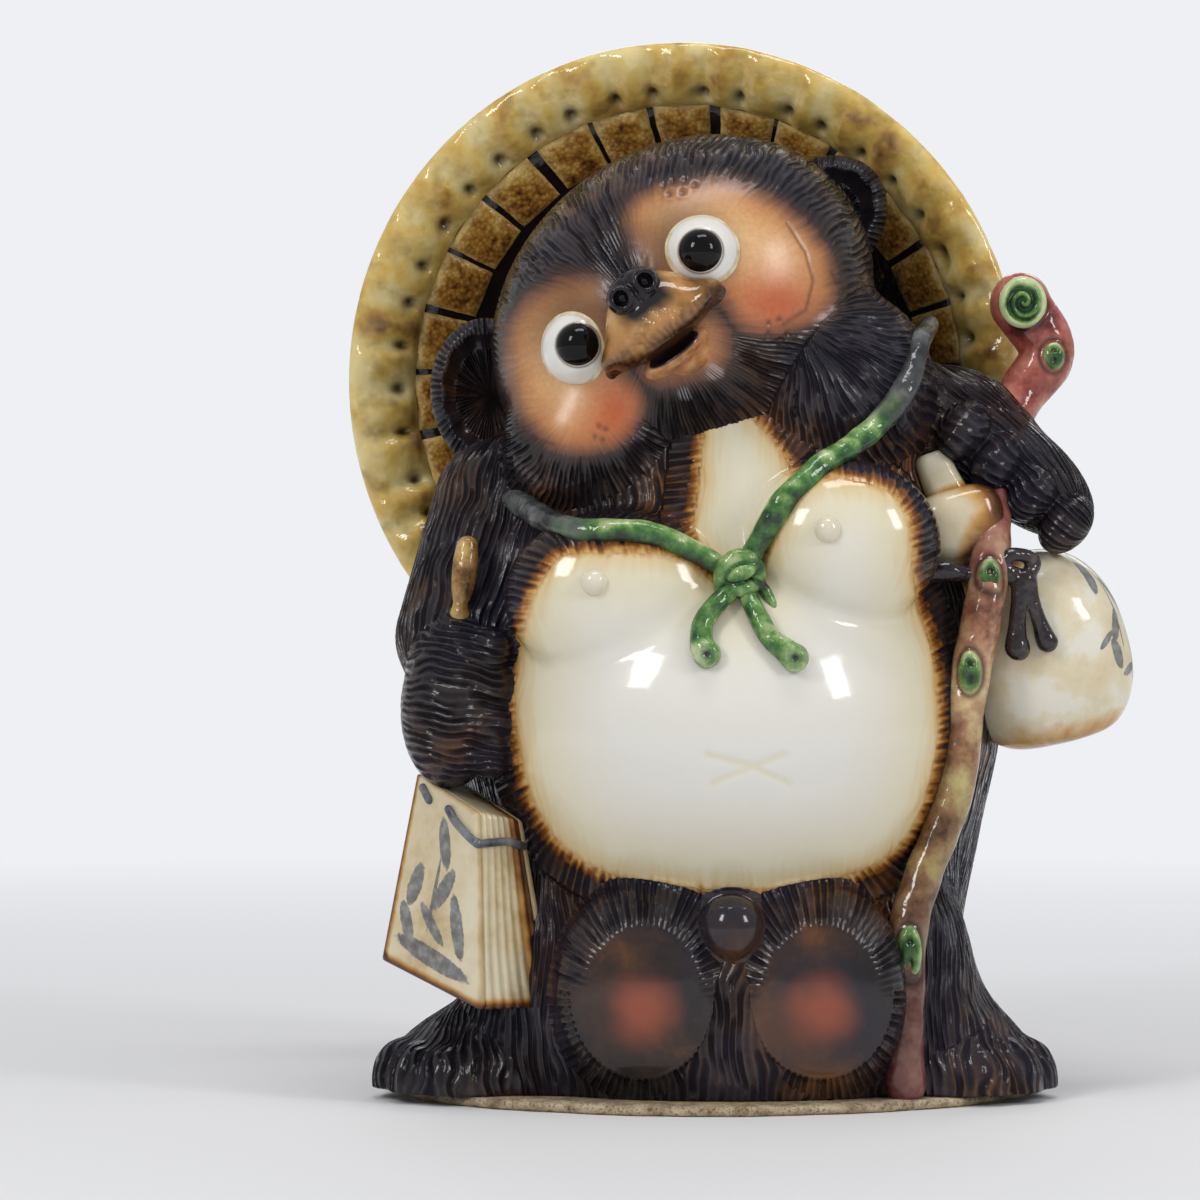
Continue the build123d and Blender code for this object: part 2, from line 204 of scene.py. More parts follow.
def jar_distance(points):
    """Distance to the stack of ovals that the body is thrown as."""
    height = points[:, 2]
    wide = rounded(body_widths, height, body_heights)
    deep = rounded(body_depths, height, body_heights)
    across = points[:, :2] - body_centre
    near = np.hypot(across[:, 0] / wide, across[:, 1] / deep)
    steep = np.hypot(across[:, 0] / wide**2, across[:, 1] / deep**2) + 1e-9
    side = near * (near - 1) / steep
    return np.maximum(side, np.maximum(height - body_heights[-1], body_heights[0] - height))


add_clay("torso", jar_distance, (-105, -98, 4), (115, 108, 290), 8.0)
lump("torso", (5, -22, 143), (97, 95, 82), blend=14)
lump("torso", (5, -47, 34), (84, 55, 58), blend=16)
lump("torso", (-38, -79, 194), (43, 27, 33), blend=5)
lump("torso", (48, -79, 214), (37, 27, 32), blend=5)


def soften(a, b, blend):
    """The nearer of two distances, with the crease between them filled."""
    overlap = np.maximum(blend - np.abs(a - b), 0) / blend
    return np.minimum(a, b) - overlap * overlap * blend / 4


def skin_of(owner, low, high):
    """The whole skin near a box, and how far a point lies out of the owner's own clay."""
    near = [c for c in clay if np.all(c[2] < high + 12) and np.all(c[3] > low - 12)]

    def measure(points):
        whole, own, rest = None, np.full(len(points), 1e3), np.full(len(points), 1e3)
        for name, distance, _, _, blend in near:
            value = distance(points)
            whole = value if whole is None else soften(whole, value, blend)
            if name == owner:
                own = np.minimum(own, value)
            else:
                rest = np.minimum(rest, value)
        return whole, own - rest

    return measure


def gradient(measure, points, step=0.3):
    """The outward slope of a distance, and its value, from four nearby places."""
    slope, value = np.zeros_like(points), np.zeros(len(points))
    for corner in ((1, -1, -1), (-1, -1, 1), (-1, 1, -1), (1, 1, 1)):
        near = measure(points + step * np.array(corner))
        slope += near[:, None] * np.array(corner)
        value += near / 4
    return slope / (4 * step), value


def net(measure, low, high, step):
    """Vertices and outward quads of the surface where a distance is zero, inside a box."""
    coarse = 4
    counts = (np.ceil((high - low) / step / coarse).astype(int) + 1) * coarse
    axes = [low[i] + step * np.arange(counts[i] + 1) for i in range(3)]
    sparse = [axis[::coarse] for axis in axes]
    places = np.stack(np.meshgrid(*sparse, indexing="ij"), -1).reshape(-1, 3)
    rough = measure(places).reshape([len(axis) for axis in sparse])
    close = np.abs(rough) < 1.15 * coarse * step
    block = np.zeros(np.array(close.shape) - 1, bool)
    for x in (0, 1):
        for y in (0, 1):
            for z in (0, 1):
                ends = [s + o for s, o in zip(block.shape, (x, y, z))]
                block |= close[x : ends[0], y : ends[1], z : ends[2]]
    values = rough[:-1, :-1, :-1].astype(np.float32)
    wanted = block
    for axis in range(3):
        values = np.repeat(values, coarse, axis)
        wanted = np.repeat(wanted, coarse, axis)
    values = np.pad(values, ((0, 1),) * 3, mode="edge")
    wanted = np.pad(wanted, ((0, 1),) * 3)
    wanted[1:] |= wanted[:-1].copy()
    wanted[:, 1:] |= wanted[:, :-1].copy()
    wanted[:, :, 1:] |= wanted[:, :, :-1].copy()
    spots = np.argwhere(wanted)
    values[wanted] = measure(low + step * spots)
    solid = values < 0
    corners = [(x, y, z) for x in (0, 1) for y in (0, 1) for z in (0, 1)]
    cells = np.array(solid.shape) - 1
    total = np.zeros(cells, np.int8)
    for x, y, z in corners:
        total += solid[x : x + cells[0], y : y + cells[1], z : z + cells[2]]
    mixed = (total > 0) & (total < 8)
    index = np.argwhere(mixed)
    number = np.full(cells, -1, np.int32)
    number[mixed] = np.arange(len(index))
    at = {c: values[index[:, 0] + c[0], index[:, 1] + c[1], index[:, 2] + c[2]] for c in corners}
    middle, hits = np.zeros((len(index), 3)), np.zeros(len(index))
    for a in corners:
        for b in corners:
            if a < b and sum(abs(p - q) for p, q in zip(a, b)) == 1:
                crossed = (at[a] < 0) != (at[b] < 0)
                share = at[a] / np.where(crossed, at[a] - at[b], 1)
                spot = np.array(a) + share[:, None] * (np.array(b) - np.array(a))
                middle += np.where(crossed[:, None], spot, 0)
                hits += crossed
    points = low + step * (index + middle / hits[:, None])
    faces = []
    for axis in range(3):
        u, v = (axis + 1) % 3, (axis + 2) % 3
        inner = [slice(1, -1)] * 3
        first, second = list(inner), list(inner)
        first[axis], second[axis] = slice(0, -1), slice(1, None)
        before, after = solid[tuple(first)], solid[tuple(second)]
        edges = np.argwhere(before != after)
        outward = before[before != after]
        edges[:, u] += 1
        edges[:, v] += 1
        ring = []
        for back_u, back_v in ((1, 1), (0, 1), (0, 0), (1, 0)):
            cell = edges.copy()
            cell[:, u] -= back_u
            cell[:, v] -= back_v
            ring.append(number[cell[:, 0], cell[:, 1], cell[:, 2]])
        ring = np.stack(ring, 1)
        faces.append(np.where(outward[:, None], ring, ring[:, ::-1]))
    return points, np.concatenate(faces)


def build_mesh(name, points, faces, marks):
    """A smooth-shaded object from millimetre points, quads and named values on its points."""
    mesh = bpy.data.meshes.new(name)
    mesh.vertices.add(len(points))
    mesh.vertices.foreach_set("co", (points * MM).astype(np.float32).ravel())
    mesh.loops.add(faces.size)
    mesh.loops.foreach_set("vertex_index", faces.astype(np.int32).ravel())
    mesh.polygons.add(len(faces))
    width = faces.shape[1]
    mesh.polygons.foreach_set("loop_start", np.arange(0, faces.size, width, dtype=np.int32))
    mesh.polygons.foreach_set("use_smooth", np.ones(len(faces), bool))
    mesh.update(calc_edges=True)
    for mark, values in marks.items():
        kind = "FLOAT_VECTOR" if values.ndim == 2 else "FLOAT"
        layer = mesh.attributes.new(mark, kind, "POINT")
        field = "vector" if values.ndim == 2 else "value"
        layer.data.foreach_set(field, values.astype(np.float32).ravel())
    thing = bpy.data.objects.new(name, mesh)
    scene.collection.objects.link(thing)
    return thing


def drop_core(thing, deep):
    """Puts one flat face in place of the faces that lie deep in the clay, out of sight."""
    form = bmesh.new()
    form.from_mesh(thing.data)
    core = [face for face in form.faces if all(deep[corner.index] for corner in face.verts)]
    bmesh.ops.delete(form, geom=core, context="FACES")
    rim = [edge for edge in form.edges if edge.is_boundary]
    bmesh.ops.holes_fill(form, edges=rim, sides=0)
    form.to_mesh(thing.data)
    form.free()


def cast(name, measure, low, high, step, carve):
    """The closed surface where a distance is zero, with its points moved by a carving."""
    step = step * 1.0
    points, faces = net(measure, np.array(low, float), np.array(high, float), step)
    for _ in range(2):
        slope, value = gradient(measure, points)
        length = np.sum(slope * slope, 1) + 1e-6
        points -= slope * np.clip(value / length, -0.6 * step, 0.6 * step)[:, None]
    slope, _ = gradient(measure, points)
    normals = slope / (np.linalg.norm(slope, axis=1)[:, None] + 1e-9)
    points, marks, deep = carve(points, normals)
    thing = build_mesh(name, points, faces, marks)
    if np.any(deep):
        drop_core(thing, deep)
    print("piece", name, len(thing.data.vertices), "points")
    return thing


overlap, tuck = 1.6, 0.45
clay_floor, room, half_overlap = 4.0, 16, 6.0


def sculpt(name, owner, step, carve, side=0):
    """One piece of the skin: its own clay, cut where it meets the rest, then carved."""
    own = [c for c in clay if c[0] == owner]
    low = np.min([c[2] for c in own], 0) - room
    high = np.max([c[3] for c in own], 0) + room
    if side < 0:
        high[1] = min(high[1], half_overlap)
    if side > 0:
        low[1] = max(low[1], -half_overlap)
    low[2] = max(low[2], clay_floor - 3 * step)
    skin = skin_of(owner, low, high)

    def cut(points):
        whole, gap = skin(points)
        return whole, np.maximum(gap, -side * points[:, 1]) if side else gap

    def measure(points):
        whole, gap = cut(points)
        return np.maximum(np.maximum(whole, clay_floor - points[:, 2]), gap - overlap)

    def finish(points, normals):
        whole, gap = cut(points)
        outer = np.clip(1 - np.abs(whole) / 0.5, 0, 1)
        depth, marks = carve(points)
        hidden = np.clip(gap / overlap, 0, 1)
        depth = depth * outer * np.clip(1 + gap / 1.5, 0.35, 1)
        grounded = points[:, 2] < clay_floor + 0.6
        moved = points - normals * (depth + tuck * hidden)[:, None]
        moved[grounded, 2] = np.maximum(moved[grounded, 2], clay_floor - 0.3)
        return moved, {"blush": np.zeros(len(points)), **marks}, whole < -4

    return cast(name, measure, low, high, step, finish)


def chance(a, b, seed=0):
    """A repeatable random share for a pair of whole numbers."""
    value = np.sin(a * 127.1 + b * 311.7 + seed * 74.7) * 43758.5453
    return value - np.floor(value)


def wander(points, size, seed=0):
    """A smooth value from about -1 to 1 that changes over a size in millimetres."""
    turn = np.array(((0.8, 0.5, 0.33), (-0.4, 0.75, 0.52), (0.3, -0.62, 0.72)))
    phase = points @ turn.T * (2.4 / size) + seed * np.array((1.7, 2.9, 4.1))
    return np.sin(phase + 0.9 * np.roll(np.sin(1.7 * phase), 1, axis=1)).mean(axis=1) * 1.5


def comb(along, across, seed=0):
    """Depth of combed strokes, 0 to 1: along counts stroke lengths and across counts strokes."""
    column = np.floor(across)
    middle = 2 * (across - column) - 1
    travel = along + chance(column, 3, seed)
    row = np.floor(travel)
    share = travel - row
    size = 0.3 + 0.7 * chance(column, row, seed + 1)
    taper = np.clip(np.minimum(share, 1 - share) * 7, 0, 1)
    return size * taper * (1 - middle * middle)


def ease(value, start, end):
    """A soft step from 0 at start to 1 at end."""
    share = np.clip((value - start) / (end - start), 0, 1)
    return share * share * (3 - 2 * share)


def bend(a, b, c, d, share):
    """The smooth curve from b to c that comes from a and goes on to d."""
    turn = 2 * a - 5 * b + 4 * c - d
    return b + 0.5 * share * ((c - a) + share * (turn + share * (3 * (b - c) + d - a)))


def closed_line(corners, steps=12):
    """A smooth closed line through given corners."""
    corners = np.array(corners, float)
    share = (np.arange(steps) / steps)[:, None]
    line = []
    for index in range(len(corners)):
        a, b, c, d = (corners[(index + shift) % len(corners)] for shift in (-1, 0, 1, 2))
        line.append(bend(a, b, c, d, share))
    return np.concatenate(line)


def inside(flat, line):
    """How far flat points lie inside a closed line, below 0 outside, and how far along it."""
    after = np.roll(line, -1, axis=0)
    lengths = np.linalg.norm(after - line, axis=1)
    starts = np.concatenate(([0], np.cumsum(lengths)[:-1]))
    best, run = np.full(len(flat), 1e9), np.zeros(len(flat))
    odd = np.zeros(len(flat), bool)
    for a, b, length, start in zip(line, after, lengths, starts):
        step = flat - a
        share = np.clip(step @ (b - a) / (length * length + 1e-9), 0, 1)
        away = np.linalg.norm(step - share[:, None] * (b - a), axis=1)
        nearer = away < best
        best = np.where(nearer, away, best)
        run = np.where(nearer, start + share * length, run)
        spans = (a[1] > flat[:, 1]) != (b[1] > flat[:, 1])
        slope = (b[0] - a[0]) / (b[1] - a[1] if b[1] != a[1] else 1e-9)
        odd ^= spans & (flat[:, 0] < a[0] + (flat[:, 1] - a[1]) * slope)
    return np.where(odd, best, -best), run


def hump(value, width):
    """A soft hump: 1 where a value is 0, and gone at about twice the width."""
    return np.exp(-((value / width) ** 2))


def scratch(points, route, width):
    """Depth of a line scratched along a route, 0 to 1."""
    best = np.full(len(points), 1e9)
    route = np.array(route, float)
    for a, b in zip(route[:-1], route[1:]):
        run = b - a
        share = np.clip((points - a) @ run / (run @ run), 0, 1)
        best = np.minimum(best, np.linalg.norm(points - a - share[:, None] * run, axis=1))
    return hump(best, width)


belly_edge = closed_line(
    [
        (-60, 213), (-71, 200), (-77, 183), (-81, 158), (-79, 132), (-71, 109), (-58, 93),
        (-36, 83), (1, 79), (39, 82), (65, 90), (80, 108), (87, 132), (88, 154), (85, 179),
        (78, 200), (75, 223), (67, 236), (50, 242), (36, 242), (24, 231), (8, 201), (-12, 212),
        (-38, 214),
    ]
)
throat_edge = closed_line(
    [(0, 281), (-6, 268), (-9, 254), (-11, 238), (-12, 215), (8, 196), (30, 226), (32, 244),
     (26, 254), (16, 266), (8, 275)]
)
fur_columns, fur_stroke, fur_depth = 190, 24.0, 0.6
fringe_pitch, fringe_stroke, fringe_depth = 3.0, 9.0, 0.55
navel = [[(-5, 0, 135), (11, 0, 131), (26, 0, 124)], [(24, 0, 135), (11, 0, 130), (-3, 0, 124)]]


def carve_torso(points):
    """Combed fur round the body, a fringe along the cream front, and the navel."""
    middle_x, middle_y = body_centre
    angle = np.arctan2(points[:, 0] - middle_x, middle_y - points[:, 1])
    front = points[:, 1] < middle_y
    cream = np.full(len(points), -60.0)
    run = np.zeros(len(points))
    flat = points[front][:, [0, 2]]
    belly_in, belly_run = inside(flat, belly_edge)
    throat_in, throat_run = inside(flat, throat_edge)
    cream[front] = np.maximum(belly_in, throat_in)
    run[front] = np.where(belly_in > throat_in, belly_run, throat_run)
    across = angle / (2 * pi) * fur_columns + 0.7 * wander(points, 16)
    along = points[:, 2] / fur_stroke + 0.2 * wander(points, 30, 5)
    fringe_across = run / fringe_pitch + cream * 0.09
    fringe = ease(cream, -11, -6) * (1 - ease(cream, 2.5, 6.5))
    fur = 1 - ease(cream, -10, -6)
    combed = comb(along, across)
    fringed = comb(cream / fringe_stroke, fringe_across, 4)
    groove = fur * combed + fringe * fringed
    depth = fur_depth * fur * combed + fringe_depth * fringe * fringed
    line = np.max([scratch(points * (1, 0, 1), stroke, 1.4) for stroke in navel], axis=0) * front
    depth = depth + 1.5 * line
    cream = np.minimum(cream, 46) - 27 * line
    beside = np.where(fringe > 0.5, fringe_across, across)
    hair = np.stack([np.where(fringe > 0.5, cream / 8, points[:, 2] / 8), beside, angle], 1)
    return depth, {"cream": cream, "groove": groove, "hair": hair}


class Reading:
    """What a node gives out; sums of readings and numbers become more nodes beside it."""

    def __init__(self, node, output=0):
        self.node, self.socket = node, node.outputs[output]

    def __getitem__(self, output):
        return Reading(self.node, output)

    def __add__(self, other):
        return sums("ADD", self, other)

    def __sub__(self, other):
        return sums("SUBTRACT", self, other)

    def __rsub__(self, other):
        return sums("SUBTRACT", other, self)

    def __mul__(self, other):
        return sums("MULTIPLY", self, other)

    def __truediv__(self, other):
        return sums("DIVIDE", self, other)


def plug(value, socket):
    """Links a reading to a socket, or sets the socket to a plain value."""
    if isinstance(value, Reading):
        link(value.socket, socket)
    else:
        socket.default_value = value


def tree_of(values):
    """The node tree of the first reading among some values."""
    return next(value.node.id_data for value in values if isinstance(value, Reading))


def grow(kind, tree=None, output=0, **inputs):
    """A node; its capitalised words are sockets and the others are settings."""
    tree = tree or tree_of(inputs.values())
    node = tree.nodes.new(kind)
    for name, value in inputs.items():
        if name[0].islower():
            setattr(node, name, value)
    for name, value in inputs.items():
        if name[0].isupper():
            plug(value, node.inputs[name.replace("_", " ")])
    return Reading(node, output)


def read(material, name, output="Fac"):
    """A named value that was kept on the mesh."""
    return grow("ShaderNodeAttribute", material.node_tree, output, attribute_name=name)


def sums(operation, *values):
    """The product, the lesser and so on of readings and numbers."""
    node = tree_of(values).nodes.new("ShaderNodeMath")
    node.operation = operation
    for socket, value in zip(node.inputs, values):
        plug(value, socket)
    return Reading(node)


def held(value, low, high):
    """A reading kept between two ends."""
    return sums("MINIMUM", sums("MAXIMUM", value, low), high)


def cloud(vector, scale, detail=3.0, roughness=0.5):
    """Noise from 0 to 1 over a vector."""
    return grow("ShaderNodeTexNoise", Vector=vector, Scale=scale, Detail=detail, Roughness=roughness)


def ramp(value, stops):
    """A colour for each value, from stops of place and colour."""
    scale = grow("ShaderNodeValToRGB", Fac=value)
    marks = scale.node.color_ramp.elements
    while len(marks) < len(stops):
        marks.new(0.5)
    for mark, (spot, colour) in zip(marks, stops):
        mark.position = spot
        mark.color = (*colour, 1)
    return scale


def blended(share, first, second, kind="MIX"):
    """Two colours mixed by a share."""
    values = (share, first, second)
    mixed = grow("ShaderNodeMix", tree_of(values), data_type="RGBA", blend_type=kind)
    for index, value in zip((0, 6, 7), values):
        plug(value, mixed.node.inputs[index])
    return mixed[2]


def object_place(material):
    """The place on the object, in metres."""
    return grow("ShaderNodeTexCoord", material.node_tree, "Object")


fur_black, fur_blue = (0.010, 0.008, 0.011), (0.020, 0.019, 0.034)
fur_brown, fur_amber = (0.050, 0.026, 0.018), (0.17, 0.065, 0.018)


def stroke_depth(material):
    """How deep a combed stroke cuts, from 0 to 1, by the strokes counted along and across."""
    parts = grow("ShaderNodeSeparateXYZ", Vector=read(material, "hair", "Vector"))
    across = parts["Y"]
    column = sums("FLOOR", across)
    trough = sums("SINE", sums("FRACT", across) * pi)
    trough = sums("POWER", trough, 1.4)
    broken = grow("ShaderNodeCombineXYZ", X=parts["X"] * 0.45, Y=column * 5.3)
    length = held((cloud(broken, 1.0, 1) - 0.36) * 5.0, 0.35, 1.0)
    return trough * length


def fur_colour(material, stroke):
    """Blue-black glaze, pooled dark in the strokes and thin and brown on the ridges."""
    spot = object_place(material)
    patchy = cloud(spot, 26.0, 4)
    speck = cloud(spot, 420.0, 2)
    thin = sums("MULTIPLY_ADD", stroke, -0.26, patchy + 0.04)
    thin = sums("MULTIPLY_ADD", speck, 0.1, thin)
    dark = ramp(
        thin, [(0.3, fur_black), (0.5, (0.022, 0.016, 0.018)), (0.62, fur_brown), (0.8, fur_amber)]
    )
    bluish = held((cloud(spot, 19.0, 2) - 0.46) * 5.0, 0.0, 0.5)
    return blended(bluish, dark, (*fur_blue, 1))


def fur_bump(material, amount, stroke):
    """Combed ridges, fine strands within them, and a slow unevenness of the glaze."""
    hair = read(material, "hair", "Vector")
    stretch = grow("ShaderNodeMapping", Vector=hair, Scale=(0.6, 2.6, 0.0))
    strands = cloud(stretch, 1.0, 3, 0.6)
    pool = cloud(object_place(material), 90.0, 2)
    combed = sums("MULTIPLY_ADD", stroke, -1.0, strands * 0.35)
    combed = combed * sums("MINIMUM", amount, 1.0)
    height = sums("MULTIPLY_ADD", pool, 0.15, combed)
    return grow("ShaderNodeBump", Height=height, Strength=1.0, Distance=0.0012)


def shade_grooves(shader, stroke):
    """Takes the shine out of the bottom of the strokes, where the clay shadows itself."""
    shine = sums("MULTIPLY_ADD", stroke, -0.5, 0.44)
    plug(sums("MAXIMUM", shine, 0.04), shader.inputs["Specular IOR Level"])


def glazed(shader, colour, normal=None, roughness=0.13):
    """Sets up a shader as a glossy stoneware glaze."""
    plug(colour, shader.inputs["Base Color"])
    shader.inputs["Roughness"].default_value = roughness
    shader.inputs["IOR"].default_value = 1.52
    if normal is not None:
        plug(normal, shader.inputs["Normal"])


belly_glaze, shader = empty_material("belly_glaze")
spot = object_place(belly_glaze)
cream = read(belly_glaze, "cream")
hair = read(belly_glaze, "hair", "Vector")
stretch = grow("ShaderNodeMapping", Vector=hair, Scale=(0.35, 1.3, 0.0))
ragged = cloud(stretch, 1.0, 2)
drift = cloud(spot, 30.0, 3)
edge = sums("MULTIPLY_ADD", ragged, 7.0, cream)
edge = sums("MULTIPLY_ADD", drift, 5.0, edge)
groove = read(belly_glaze, "groove")
edge = sums("MULTIPLY_ADD", groove, -3.0, edge)
share = (edge + 4.0) * (1 / 50)
front_colour = ramp(share, [
    (0.10, (0.012, 0.010, 0.012)), (0.17, (0.05, 0.018, 0.008)), (0.215, (0.22, 0.075, 0.015)),
    (0.26, (0.55, 0.29, 0.08)), (0.33, (0.72, 0.57, 0.32)), (0.45, (0.77, 0.70, 0.51)),
    (0.75, (0.80, 0.76, 0.65)), (1.0, (0.81, 0.785, 0.72)),
])
outside = sums("LESS_THAN", share, 0.17)
stroke = stroke_depth(belly_glaze)
skin_colour = blended(outside, front_colour, fur_colour(belly_glaze, stroke))
fur_share = sums("MAXIMUM", 1.0 - share * 3.5, 0.0)
glazed(shader, skin_colour, fur_bump(belly_glaze, fur_share, stroke), 0.1)
fur_share = sums("MINIMUM", fur_share * 1.6, 1.0)
shade_grooves(shader, stroke * fur_share)


def hand_in(piece, material, slot, *cad_nodes):
    """Gives a piece its glaze and its place in the frame."""
    piece.data.materials.clear()
    piece.data.materials.append(material)
    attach(piece, "root")
    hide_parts(*cad_nodes)


def torso_pieces():
    """The two halves of the body, once every lump that leans on it is known."""
    front = sculpt("torso_front_clay", "torso", 1.1, carve_torso, side=-1)
    back = sculpt("torso_back_clay", "torso", 1.32, carve_torso, side=1)
    hand_in(front, belly_glaze, "cream_glaze", "torso_front")
    hand_in(back, belly_glaze, "fur_glaze", "torso_back")


# The head: a hollow egg rolled to the figure's right, with two full jowls pressed onto it.
# Orange face patches are bare of fur; the rest is combed outwards from the muzzle.
head_centre = np.array((-12.0, -18.0, 304.0))
head_radii = np.array((80.0, 70.0, 66.0))
head_roll = -37.0
face_middle, eye_spread, eye_up = -12.5, 29.0, 11.7
head_spin = np.array(Matrix.Rotation(radians(head_roll), 3, "Y"))
jowls = {"right": ((-46, -45, 254), (36, 34, 33)), "left": ((46, -38, 275), (40, 36, 40))}

lump("head", head_centre, head_radii, head_roll, blend=4)
for spot, radii in jowls.values():
    lump("head", spot, radii, blend=9)

patch_right = closed_line(
    [(-21, 27), (-37, 39), (-52, 39), (-66, 27), (-73, 12), (-74, -6), (-68, -18), (-54, -25),
     (-41, -23), (-34, -16), (-33, -5), (-27, 9)]
)
patch_left = closed_line(
    [(4, 41), (14, 44), (30, 37), (45, 25), (54, 6), (56, -14), (50, -29), (37, -34), (23, -29),
     (13, -19), (11, -8), (4, -3), (-3, 8), (-1, 27)]
)
chin_patch = closed_line([(-27, -8), (-8, -3), (6, -8), (4, -20), (-4, -27), (-14, -24), (-26, -18)])
cheeks = [((-44, -19), 17.0), ((27, -21), 17.0)]
pits = [(-44.9, 258.7), (-42.3, 257.5), (-46.4, 254.6), (-43.4, 253.5), (19.5, 297.6), (23.6, 299.1),
        (19.5, 293.5), (24.3, 291.2), (27.0, 293.5), (-20.2, 350.6), (-16.5, 352.2), (-12.4, 352.6),
        (-8.4, 351.0), (-18.0, 347.2), (-13.0, 347.8), (-71.4, 318.4), (-67.8, 321.2), (-74.0, 322.4),
        (-69.6, 324.6)]
folds = [[(-80, 268), (-75, 259), (-68, 254), (-62, 251.6)],
         [(27, 336), (34, 325), (37, 314), (34, 303), (25, 297)],
         [(44, 318), (49, 309), (48, 301), (38, 295)]]
pale_spots = [((-6.1, -25.9), 3.6), ((-20.1, -25.7), 2.8)]
head_columns, head_stroke, head_depth = 156, 22.0, 0.75
jowl_columns, jowl_stroke = 96, 12.0
jowl_middles = {"right": (-52, 268), "left": (30, 300)}
head_forms = [stretched(head_centre, head_radii, head_roll)]
head_forms += [stretched(*jowls["right"]), stretched(*jowls["left"])]


def carve_head(points):
    """Fur combed out from the muzzle and from the cheeks, and the bare face patches."""
    local = (points - head_centre) @ head_spin
    direction = local / (np.linalg.norm(local, axis=1)[:, None] + 1e-9)
    away = np.arccos(np.clip(-direction[:, 1], -1, 1))
    angle = np.arctan2(local[:, 0] - face_middle * np.cos(away), -local[:, 2])
    across = angle / (2 * pi) * head_columns
    along = away * 70 / head_stroke
    nearest = np.argmin([form(points) for form in head_forms], axis=0)
    for index, side in ((1, "right"), (2, "left")):
        middle = jowl_middles[side]
        turn = np.arctan2(points[:, 0] - middle[0], points[:, 2] - middle[1])
        far = np.hypot(points[:, 0] - middle[0], points[:, 2] - middle[1])
        far = far + 0.6 * (points[:, 1] + 45)
        across = np.where(nearest == index, turn / (2 * pi) * jowl_columns, across)
        along = np.where(nearest == index, far / jowl_stroke, along)
    across = across + 0.45 * wander(points, 12)
    flat = local[:, [0, 2]]
    front = local[:, 1] < 0
    face = np.full(len(points), -60.0)
    value = np.maximum(inside(flat[front], patch_right)[0], inside(flat[front], patch_left)[0])
    face[front] = np.maximum(value, inside(flat[front], chin_patch)[0])
    blush = np.zeros(len(points))
    for middle, size in cheeks:
        blush = blush + np.exp(-np.sum(((flat - middle) / size) ** 2, 1))
    blush = np.where(front, blush, 0)
    fur = 1 - ease(face, -1.5, 4)
    combed = comb(along, across, 9)
    depth = head_depth * fur * combed
    shade, milk = np.zeros(len(points)), np.zeros(len(points))
    for sign in (-1, 1):
        east, up = flat[:, 0] - face_middle - sign * eye_spread, flat[:, 1] - eye_up
        off = np.hypot(east, up)
        over = 0.55 + 0.45 * (up * 0.85 - sign * east * 0.5) / (off + 1e-9)
        shade = shade + 0.75 * hump(np.maximum(off - 14, 0), 3.5 + 9 * over**2) * (0.25 + over**2)
    bridge_x, bridge_z = (flat[:, 0] - face_middle) / 15, (flat[:, 1] + 4) / 14
    shade = shade + 0.6 * np.exp(-(bridge_x**2) - (bridge_z**2))
    for east, height in pits:
        off = np.hypot(points[:, 0] - east, points[:, 2] - height)
        depth = depth + front * (1.5 * hump(off, 1.2) - 0.5 * hump(off - 2.2, 0.8))
        shade = shade + 0.9 * hump(off, 1.1)
    drawn = np.stack([points[:, 0], np.zeros(len(points)), points[:, 2]], 1)
    for fold in folds:
        line = scratch(drawn, [(east, 0, height) for east, height in fold], 0.8) * front
        depth, shade = depth + 0.9 * line, shade + 0.7 * line
    # Two small raised lumps on the chin, coloured pale grey in the glaze.
    for spot, size in pale_spots:
        off = np.linalg.norm(flat - spot, axis=1)
        depth = depth - 1.6 * hump(off, size) * front
        milk = milk + (1 - ease(off + wander(points, 4), size * 0.5, size * 1.2)) * front
    hair = np.stack([along * 2, across, angle], 1)
    marks = {"cream": face, "groove": fur * combed, "hair": hair, "blush": blush}
    return depth, {**marks, "shade": np.clip(shade, 0, 1.2) * front, "milk": milk}


face_glaze, shader = empty_material("face_glaze")
spot = object_place(face_glaze)
face = read(face_glaze, "cream")
hair = read(face_glaze, "hair", "Vector")
stretch = grow("ShaderNodeMapping", Vector=hair, Scale=(0.3, 1.2, 0.0))
ragged = cloud(stretch, 1.0, 2)
edge = sums("MULTIPLY_ADD", ragged, 5.0, face)
edge = sums("MULTIPLY_ADD", cloud(spot, 35.0, 3), 6.0, edge)
share = (edge + 6.0) * (1 / 30)
pale = ramp(share, [
    (0.16, (0.012, 0.010, 0.012)), (0.30, (0.055, 0.028, 0.020)), (0.42, (0.24, 0.105, 0.048)),
    (0.56, (0.52, 0.235, 0.09)), (0.75, (0.68, 0.36, 0.15)), (1.0, (0.78, 0.49, 0.24)),
])
blush = read(face_glaze, "blush") * 0.95
blush = blush * held((share - 0.3) * 3.0, 0.0, 1.0)
warm = blended(blush, pale, (0.58, 0.125, 0.045, 1))
shade = read(face_glaze, "shade") * 0.8
warm = blended(shade, warm, (0.085, 0.032, 0.014, 1))
grain = ramp(cloud(spot, 600.0, 2), [(0.3, (0.86, 0.86, 0.86)), (0.7, (1.0, 1.0, 1.0))])
warm = blended(1.0, warm, grain, "MULTIPLY")
outside = sums("MAXIMUM", 1.0 - share * 3.0, 0.0)
stroke = stroke_depth(face_glaze)
skin_colour = blended(outside, warm, fur_colour(face_glaze, stroke))
milk = read(face_glaze, "milk") * (0.7 - stroke)
skin_colour = blended(milk, skin_colour, (0.50, 0.46, 0.50, 1))
glazed(shader, skin_colour, fur_bump(face_glaze, outside, stroke), roughness=0.12)
outside = sums("MINIMUM", outside * 1.6, 1.0)
shade_grooves(shader, stroke * outside)
plug(sums("MULTIPLY_ADD", outside, -0.16, 0.28), shader.inputs["Roughness"])


